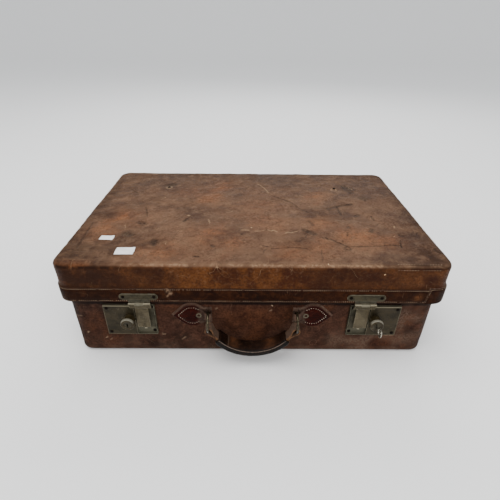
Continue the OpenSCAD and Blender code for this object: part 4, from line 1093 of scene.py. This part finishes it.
# How far the leaf's tip stands from the case's middle; grow makes the leaf larger all round
def leafTip(grow):
    return tabCut["tip"] + 1.4 * grow


# Half the leaf's height at x: nearly straight sides from the tip, a rounded knee, then narrower to the fold
def leafHalf(x, grow):
    bend = tabCut["knee"]
    rising = (x + leafTip(grow)) * tabCut["slope"]
    knee = -bend * np.log(np.exp(-rising / bend) + np.exp(-(tabCut["half"] + grow) / bend))
    return np.maximum(knee, 0) * (1 - 0.35 * smoothStep(-95, -76, x))


# The upper rim of the leaf, from its tip
def leafRim(grow):
    x = -leafTip(grow) + (leafTip(grow) - tabCut["inner"]) * np.linspace(0, 1, 260) ** 1.5
    return np.column_stack([x, leafHalf(x, grow)])


# Distance inwards from the rim of the leaf
def leafDepth(x, z, grow):
    high = np.abs(z - tabCut["z"])
    away = awayFrom(np.column_stack([x, high]), leafRim(grow))
    return np.where(high <= leafHalf(x, grow), away, -away)


def leafShape(grow, inner, height, columns, rows):
    u, v = np.meshgrid(np.linspace(0, 1, columns), np.linspace(-1, 1, rows))
    x = (-leafTip(grow) + (leafTip(grow) - inner) * (1 - np.cos(np.pi / 2 * u))).ravel()
    z = tabCut["z"] + leafHalf(x, grow) * np.sin(np.pi / 2 * v).ravel()
    out = height(leafDepth(x, z, grow), x + inner)
    return np.column_stack([x, wallY - out, z]), gridFaces(rows, columns)


def tabHeight(depth, fromEnd):
    cut = tabCut
    rise = cut["thick"] * smoothStep(-0.1, 1.1, depth) * smoothStep(0.3, -1.2, fromEnd)
    rise -= 0.3 * bell(depth, cut["crease"], 0.5) + cut["groove"] * bell(depth, cut["stitchIn"], 0.6)
    return cut["under"] + rise + cut["puff"] * smoothStep(cut["stitchIn"], 11, depth)


def patchHeight(depth, fromEnd):
    return tabCut["under"] * smoothStep(-0.1, 0.7, depth) * smoothStep(0.3, -0.6, fromEnd)


def foldShape():
    cut = tabCut
    count = len(foldLine)
    steps = np.linspace(0, count - 1, 56)
    path = np.column_stack([np.interp(steps, range(count), column) for column in np.array(foldLine).T])
    across, out = smoothed(path, 3).T
    wide = cut["foldWide"] + (cut["foldHigh"] - cut["foldWide"]) * smoothStep(-85, -76, across)
    path = np.column_stack([across, wallY - out, np.full(len(out), cut["foldZ"])])
    return ribbonShape(path, (0, 0, 1), wide, cut["foldThick"], 28, 4.5)


# The lower and the upper row of the left tab's stitches
def tabRows():
    cut = tabCut
    rim = leafRim(0)
    ahead = unit(np.gradient(rim, axis=0))
    row = rim + np.column_stack([ahead[:, 1], -ahead[:, 0]]) * cut["stitchIn"]
    row = row[(leafDepth(row[:, 0], cut["z"] + row[:, 1], 0) > cut["stitchIn"] - 0.1) & (row[:, 1] > 0)]
    across, high = row[row[:, 0] < cut["stitchEnd"]].T
    y = np.full(len(across), wallY - cut["under"] - cut["thick"] + cut["groove"])
    return [np.column_stack([across, y, cut["z"] + side * high]) for side in (-1, 1)]


def makeTabs():
    cut = tabCut
    shapes = [leafShape(0, cut["inner"], tabHeight, 90, 81), foldShape(),
              leafShape(cut["patchRim"], cut["patchInner"], patchHeight, 70, 51)]
    for name, node, flip in (("leftTab", "left_tab", False), ("rightTab", "right_tab", True)):
        leaf, fold, patch = (mirrored(shape) if flip else shape for shape in shapes)
        verts = leaf[0]
        depth = leafDepth(-np.abs(verts[:, 0]), verts[:, 2], 0)
        marks = {"rich": smoothStep(90, 80, np.abs(verts[:, 0]) + 3 * ripple(verts, 12, 53)) * 0.9,
                 # Partly rubbed wear, partly a painted highlight: the rim's upper side is paler, where
                 # light falls on it
                 "rub": bell(depth, 0, 0.9) * np.where(verts[:, 2] > cut["z"], 0.65, 0.35),
                 # Painted shade in the crease and the stitch groove
                 "shade": bell(depth, cut["crease"], 0.6) * 0.6 + bell(depth, cut["stitchIn"], 0.7) * 0.5}
        newPiece(name + "Leaf", leaf, "tabLeather", "case_body", [node], marks)
        marks = {"rich": 0.75, "rub": smoothStep(7, 10, wallY - fold[0][:, 1]) * 0.25, "shade": 0.15}
        newPiece(name + "Fold", fold, "tabLeather", "case_body", marks=marks)
        newPiece(name + "Patch", patch, "patchLeather", "case_body", ["tab_patches"])
        side = (-1, 1, 1) if flip else (1, 1, 1)
        rows = [stitchShape(line * side, (0, -1, 0), cut["stitch"], 240 + number + 2 * flip)
                for number, line in enumerate(tabRows())]
        newPiece(name + "Stitches", joinShapes(rows), "tabThread", "case_body", weld=False)


makeTabs()

# Large tubular rivets in the tabs: a rolled rim round a sunk middle, and a washer inside the case
eyeletCut = {"x": 87, "z": 86, "seat": 3.6, "radius": 4.75, "roll": 1.2, "wall": 5.6, "sides": 40}


# Turns a profile of (radius, out) points about a line that points out of the front
def latheShape(x, z, profile):
    angles = ringAngles(eyeletCut["sides"])
    rings = [np.column_stack([x + radius * np.cos(angles), np.full(len(angles), wallY - out),
                              z + radius * np.sin(angles)]) for radius, out in profile]
    return np.vstack(rings), gridFaces(len(profile), len(angles), loop=True)


def makeEyelets():
    cut = eyeletCut
    seat, radius, roll, wall = cut["seat"], cut["radius"], cut["roll"], cut["wall"]
    head = [(radius, seat)] + [(radius - roll + roll * math.cos(angle), seat + 0.5 + roll * math.sin(angle))
                               for angle in np.linspace(0, math.pi, 9)]
    head += [(1.9, seat + 0.3), (1.4, seat + 0.1), (0.01, seat + 0.15)]
    washer = [(3.8, -wall), (3.2, -wall - 0.8), (0.01, -wall - 0.9)]
    shapes = [latheShape(x, cut["z"], profile) for x in (-cut["x"], cut["x"]) for profile in (head, washer)]
    newPiece("tabEyelets", joinShapes(shapes), "coverMetal", "case_body", ["tab_rivets"])


makeEyelets()
print("tabs made")

# Handle: a strap looped round both rings inside a padded grip

gripCut = {
    "y": (boxOf["handle_grip"][0][1] + boxOf["handle_grip"][1][1]) / 2, "centreZ": 100.5, "inner": 65.6,
    "thick": 12.4, "wide": 28, "angle": 51.5, "rings": 130, "sides": 72, "crease": -37.0, "welt": 207,
    "stitch": {"pitch": 2.6, "length": 1.9, "thick": 0.65, "proud": 0.1, "slant": 0.2, "lost": 0.2},
}
strapCut = {"wide": 18, "loop": 2.4, "eyeX": -70, "eyeZ": 73.2, "eye": 4.1, "endAngle": 49, "endMost": 53,
            "fold": 0.72}
gripMiddle = gripCut["inner"] + gripCut["thick"] / 2


# A point at an angle from straight down, at a radius about the grip's centre
def gripPoint(angle, radius, y=0.0):
    parts = (radius * np.sin(angle), gripCut["y"] + y, gripCut["centreZ"] - radius * np.cos(angle))
    return np.stack(np.broadcast_arrays(*parts), axis=-1)


def makeGrip():
    cut = gripCut
    limit, weltAt, halfWide = math.radians(cut["angle"]), math.radians(cut["welt"]), cut["wide"] / 2 - 0.3
    angle, around = np.linspace(-limit, limit, cut["rings"])[:, None], ringAngles(cut["sides"])[None, :]
    slim = 0.72 + 0.28 * np.sqrt(np.clip((limit - np.abs(angle)) * gripMiddle / 5, 0, 1))
    swell = 0.35 * np.cos(angle / limit * math.pi / 2) - 0.5 * bell(np.degrees(angle), cut["crease"], 0.8)
    welt = 0.35 * bell(around, weltAt, 0.07)
    y = squared(np.cos(around), 0.42) * halfWide * (0.9 + 0.1 * slim) - welt
    rise = squared(np.sin(around), 0.5) * (cut["thick"] / 2 * slim + swell) - welt
    verts = gripPoint(angle, gripMiddle + rise, y).reshape(-1, 3)
    verts += (ripple(verts, 14, 63) * 0.12)[:, None] * (0.3, 0.3, 0.9)
    turned, around = (values.ravel() for values in np.broadcast_arrays(np.degrees(angle), around))
    top = smoothStep(0.2, 0.9, -np.sin(around))
    worn = np.maximum(bell(turned, -28, 7), bell(turned, 27, 9))
    shade = smoothStep(0.35, 0.85, -np.cos(around)) * 0.95 + 0.3 * top * (1 - worn)
    # Painted shade on the grip's underside
    shade += smoothStep(0.3, 0.8, np.sin(around)) * 0.8
    marks = {"rich": top * worn * 0.8, "shade": np.clip(shade, 0, 1),
             "marks": bell(turned, cut["crease"], 0.7) * 0.4, "rub": bell(around, weltAt, 0.08) * 0.75,
             "scuffs": bell(turned, cut["crease"] + 1, 0.35) * top * 0.5}
    shape = (verts, tubeFaces(cut["rings"], cut["sides"]))
    grip = newPiece("gripPad", shape, "gripLeather", "handle", ["handle_grip"], marks)
    angle = np.linspace(-limit + 0.05, limit - 0.05, 90)
    y = -abs(math.cos(weltAt)) ** 0.42 * halfWide - 0.45
    rise = -abs(math.sin(weltAt)) ** 0.5 * cut["thick"] / 2 - 0.35
    facing = np.column_stack([-np.sin(angle), 0 * angle - 1, np.cos(angle)])
    shape = stitchShape(gripPoint(angle, gripMiddle + rise, y), facing, cut["stitch"], 250)
    newPiece("gripStitches", shape, "darkThread", "handle", weld=False)


def makeStrap():
    cut = strapCut
    eye = np.array([cut["eyeX"], gripCut["y"], cut["eyeZ"]])
    run = gripPoint(-math.radians(cut["endMost"]), gripMiddle) - eye
    along = unit(run)
    across = np.array([-along[2], 0, along[0]])
    radius, thin = cut["eye"] + cut["loop"] / 2, cut["loop"] / 2 * 0.95

    def lamina(side):
        angles = -np.radians(np.linspace(cut["endAngle"], cut["endMost"] - 0.4, 6))
        t = np.linspace(1, 0, 26)
        spread = thin + (radius - thin) * (1 - smoothStep(0, cut["fold"], t))
        return np.vstack([gripPoint(angles, gripMiddle - side * thin),
                          eye + np.outer(t, run) + np.outer(side * spread, across)])

    bend = [eye + radius * (across * math.cos(angle) - along * math.sin(angle))
            for angle in np.linspace(0, math.pi, 17)[1:-1]]
    path = smoothed(np.vstack([lamina(1), bend, lamina(-1)[::-1]]), 2)
    shape = ribbonShape(path, (0, 1, 0), cut["wide"], cut["loop"], 32, 5.0)
    shape = joinShapes([shape, mirrored(shape)])
    _, y, z = shape[0].T
    edgeOn = smoothStep(7.4, 8.8, np.abs(y - gripCut["y"]))
    marks = {"rich": edgeOn * 0.8, "shade": smoothStep(80, 66, z) * 0.15, "rub": 0.35 * (1 - edgeOn)}
    newPiece("handleStrap", shape, "strapLeather", "handle", ["handle_strap"], marks)


makeGrip()
makeStrap()
print("handle made")

# Blank paper labels with a lifted corner

labelCuts = {
    "labelLarge": {"x": -201, "y": -157, "size": (30, 20.5), "turn": 1.0, "lift": 0.8},
    "labelSmall": {"x": -242, "y": -116, "size": (23, 13.5), "turn": -4.0, "lift": 1.2},
}


def makeLabel(name, cut):
    count, turn = 24, math.radians(cut["turn"])
    u, v = (values.ravel() for values in np.meshgrid(np.linspace(-1, 1, count), np.linspace(-1, 1, count)))
    rounded = 0.985 + 0.015 * np.cos(4 * np.arctan2(np.abs(v), np.abs(u)))
    x, y = u * cut["size"][0] / 2 * rounded, v * cut["size"][1] / 2 * rounded
    c, s = math.cos(turn), math.sin(turn)
    upper = np.column_stack([x * c - y * s, x * s + y * c, 0 * x]) + (cut["x"], cut["y"], lidCut["high"])
    upper[:, 2] += lidRise(upper) + 0.4 + cut["lift"] * smoothStep(1.3, 2.0, u + v)
    grid = np.arange(count * count).reshape(count, count)
    rim = np.concatenate([grid[0], grid[1:, -1], grid[-1, -2::-1], grid[-2:0:-1, 0]]).tolist()
    shift = count * count
    faces = gridFaces(count, count)
    faces += [tuple(index + shift for index in face) for face in flipped(faces)]
    faces += [(a, a + shift, b + shift, b) for a, b in zip(rim, rim[1:] + rim[:1])]
    shape = (np.vstack([upper, upper - (0, 0, 0.25)]), faces)
    newPiece(name, shape, "labelPaper", "lid", ["paper_labels"])


for name, cut in labelCuts.items():
    makeLabel(name, cut)
print("labels made")

# Fittings: the frame's own shapes in aged metal, with their edges eased by a width in millimetres

fittingCuts = {
    "coverMetal": ("lock_metal", {"left_lock_cover": 0.9, "right_lock_cover": 0.9}),
    "hingeMetal": ("lock_metal", {"hinge_body_leaves": 0.3, "hinge_lid_leaves": 0.3}),
    "barrelMetal": ("lock_metal", {"left_barrel": 0.3, "right_barrel": 0.3}),
    "plugMetal": ("lock_metal", {"left_key_plug": 0.15, "right_key_plug": 0.15}),
    "haspMetal": ("lock_metal", {"left_hasp_plate": 0.35, "right_hasp_plate": 0.35}),
    "trayMetal": ("lock_metal", {"left_lock_plate": 0.35, "right_lock_plate": 0.35}),
    "flapMetal": ("lock_metal", {"left_flap": 0.35, "right_flap": 0.35}),
    "keyMetal": ("bare_metal", {"key": 0.35, "left_bolt": 0.3, "right_bolt": 0.3, "hinge_pins": 0.2,
                                "hasp_pins": 0.2}),
    "rivetMetal": ("dark_metal", {"lock_rivets": 0.25, "hasp_rivets": 0.25, "lid_top_rivets": 0.3,
                                  "hinge_body_rivets": 0.25, "hinge_lid_rivets": 0.25}),
}
plainNodes = {"left_ring": "ringMetal", "right_ring": "ringMetal", "body_board": "fibreBoard",
              "lid_board": "fibreBoard", "body_lining": "liningCloth", "lid_lining": "liningCloth"}


def easedCopy(node, width, material):
    source = frame["nodes"][node]
    bm = bmesh.new()
    bm.from_mesh(source.data)
    bmesh.ops.remove_doubles(bm, verts=bm.verts, dist=weldReach / 2)
    bmesh.ops.dissolve_limit(bm, angle_limit=math.radians(0.5), verts=bm.verts, edges=bm.edges)
    turn = math.radians(38)
    sharp = [edge for edge in bm.edges if len(edge.link_faces) == 2 and edge.calc_face_angle(0) > turn]
    bmesh.ops.bevel(bm, geom=sharp, offset=width * mm, segments=2, profile=0.5, affect="EDGES",
                    clamp_overlap=True)
    bmesh.ops.remove_doubles(bm, verts=bm.verts, dist=weldReach)
    mesh = bpy.data.meshes.new(node + "_eased")
    bm.to_mesh(mesh)
    bm.free()
    mesh.shade_smooth()
    mesh.set_sharp_from_angle(angle=math.radians(50))
    mesh.materials.append(finish[material])
    piece = addObject(node + "_eased", mesh)
    piece.modifiers.new("evenShade", "WEIGHTED_NORMAL").keep_sharp = True
    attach(piece, source["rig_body"])
    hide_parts(node)


for material, (slot, nodes) in fittingCuts.items():
    for node, width in nodes.items():
        easedCopy(node, width, material)
for node, material in plainNodes.items():
    frame["nodes"][node].data.materials.clear()
    frame["nodes"][node].data.materials.append(finish[material])
print("fittings made")
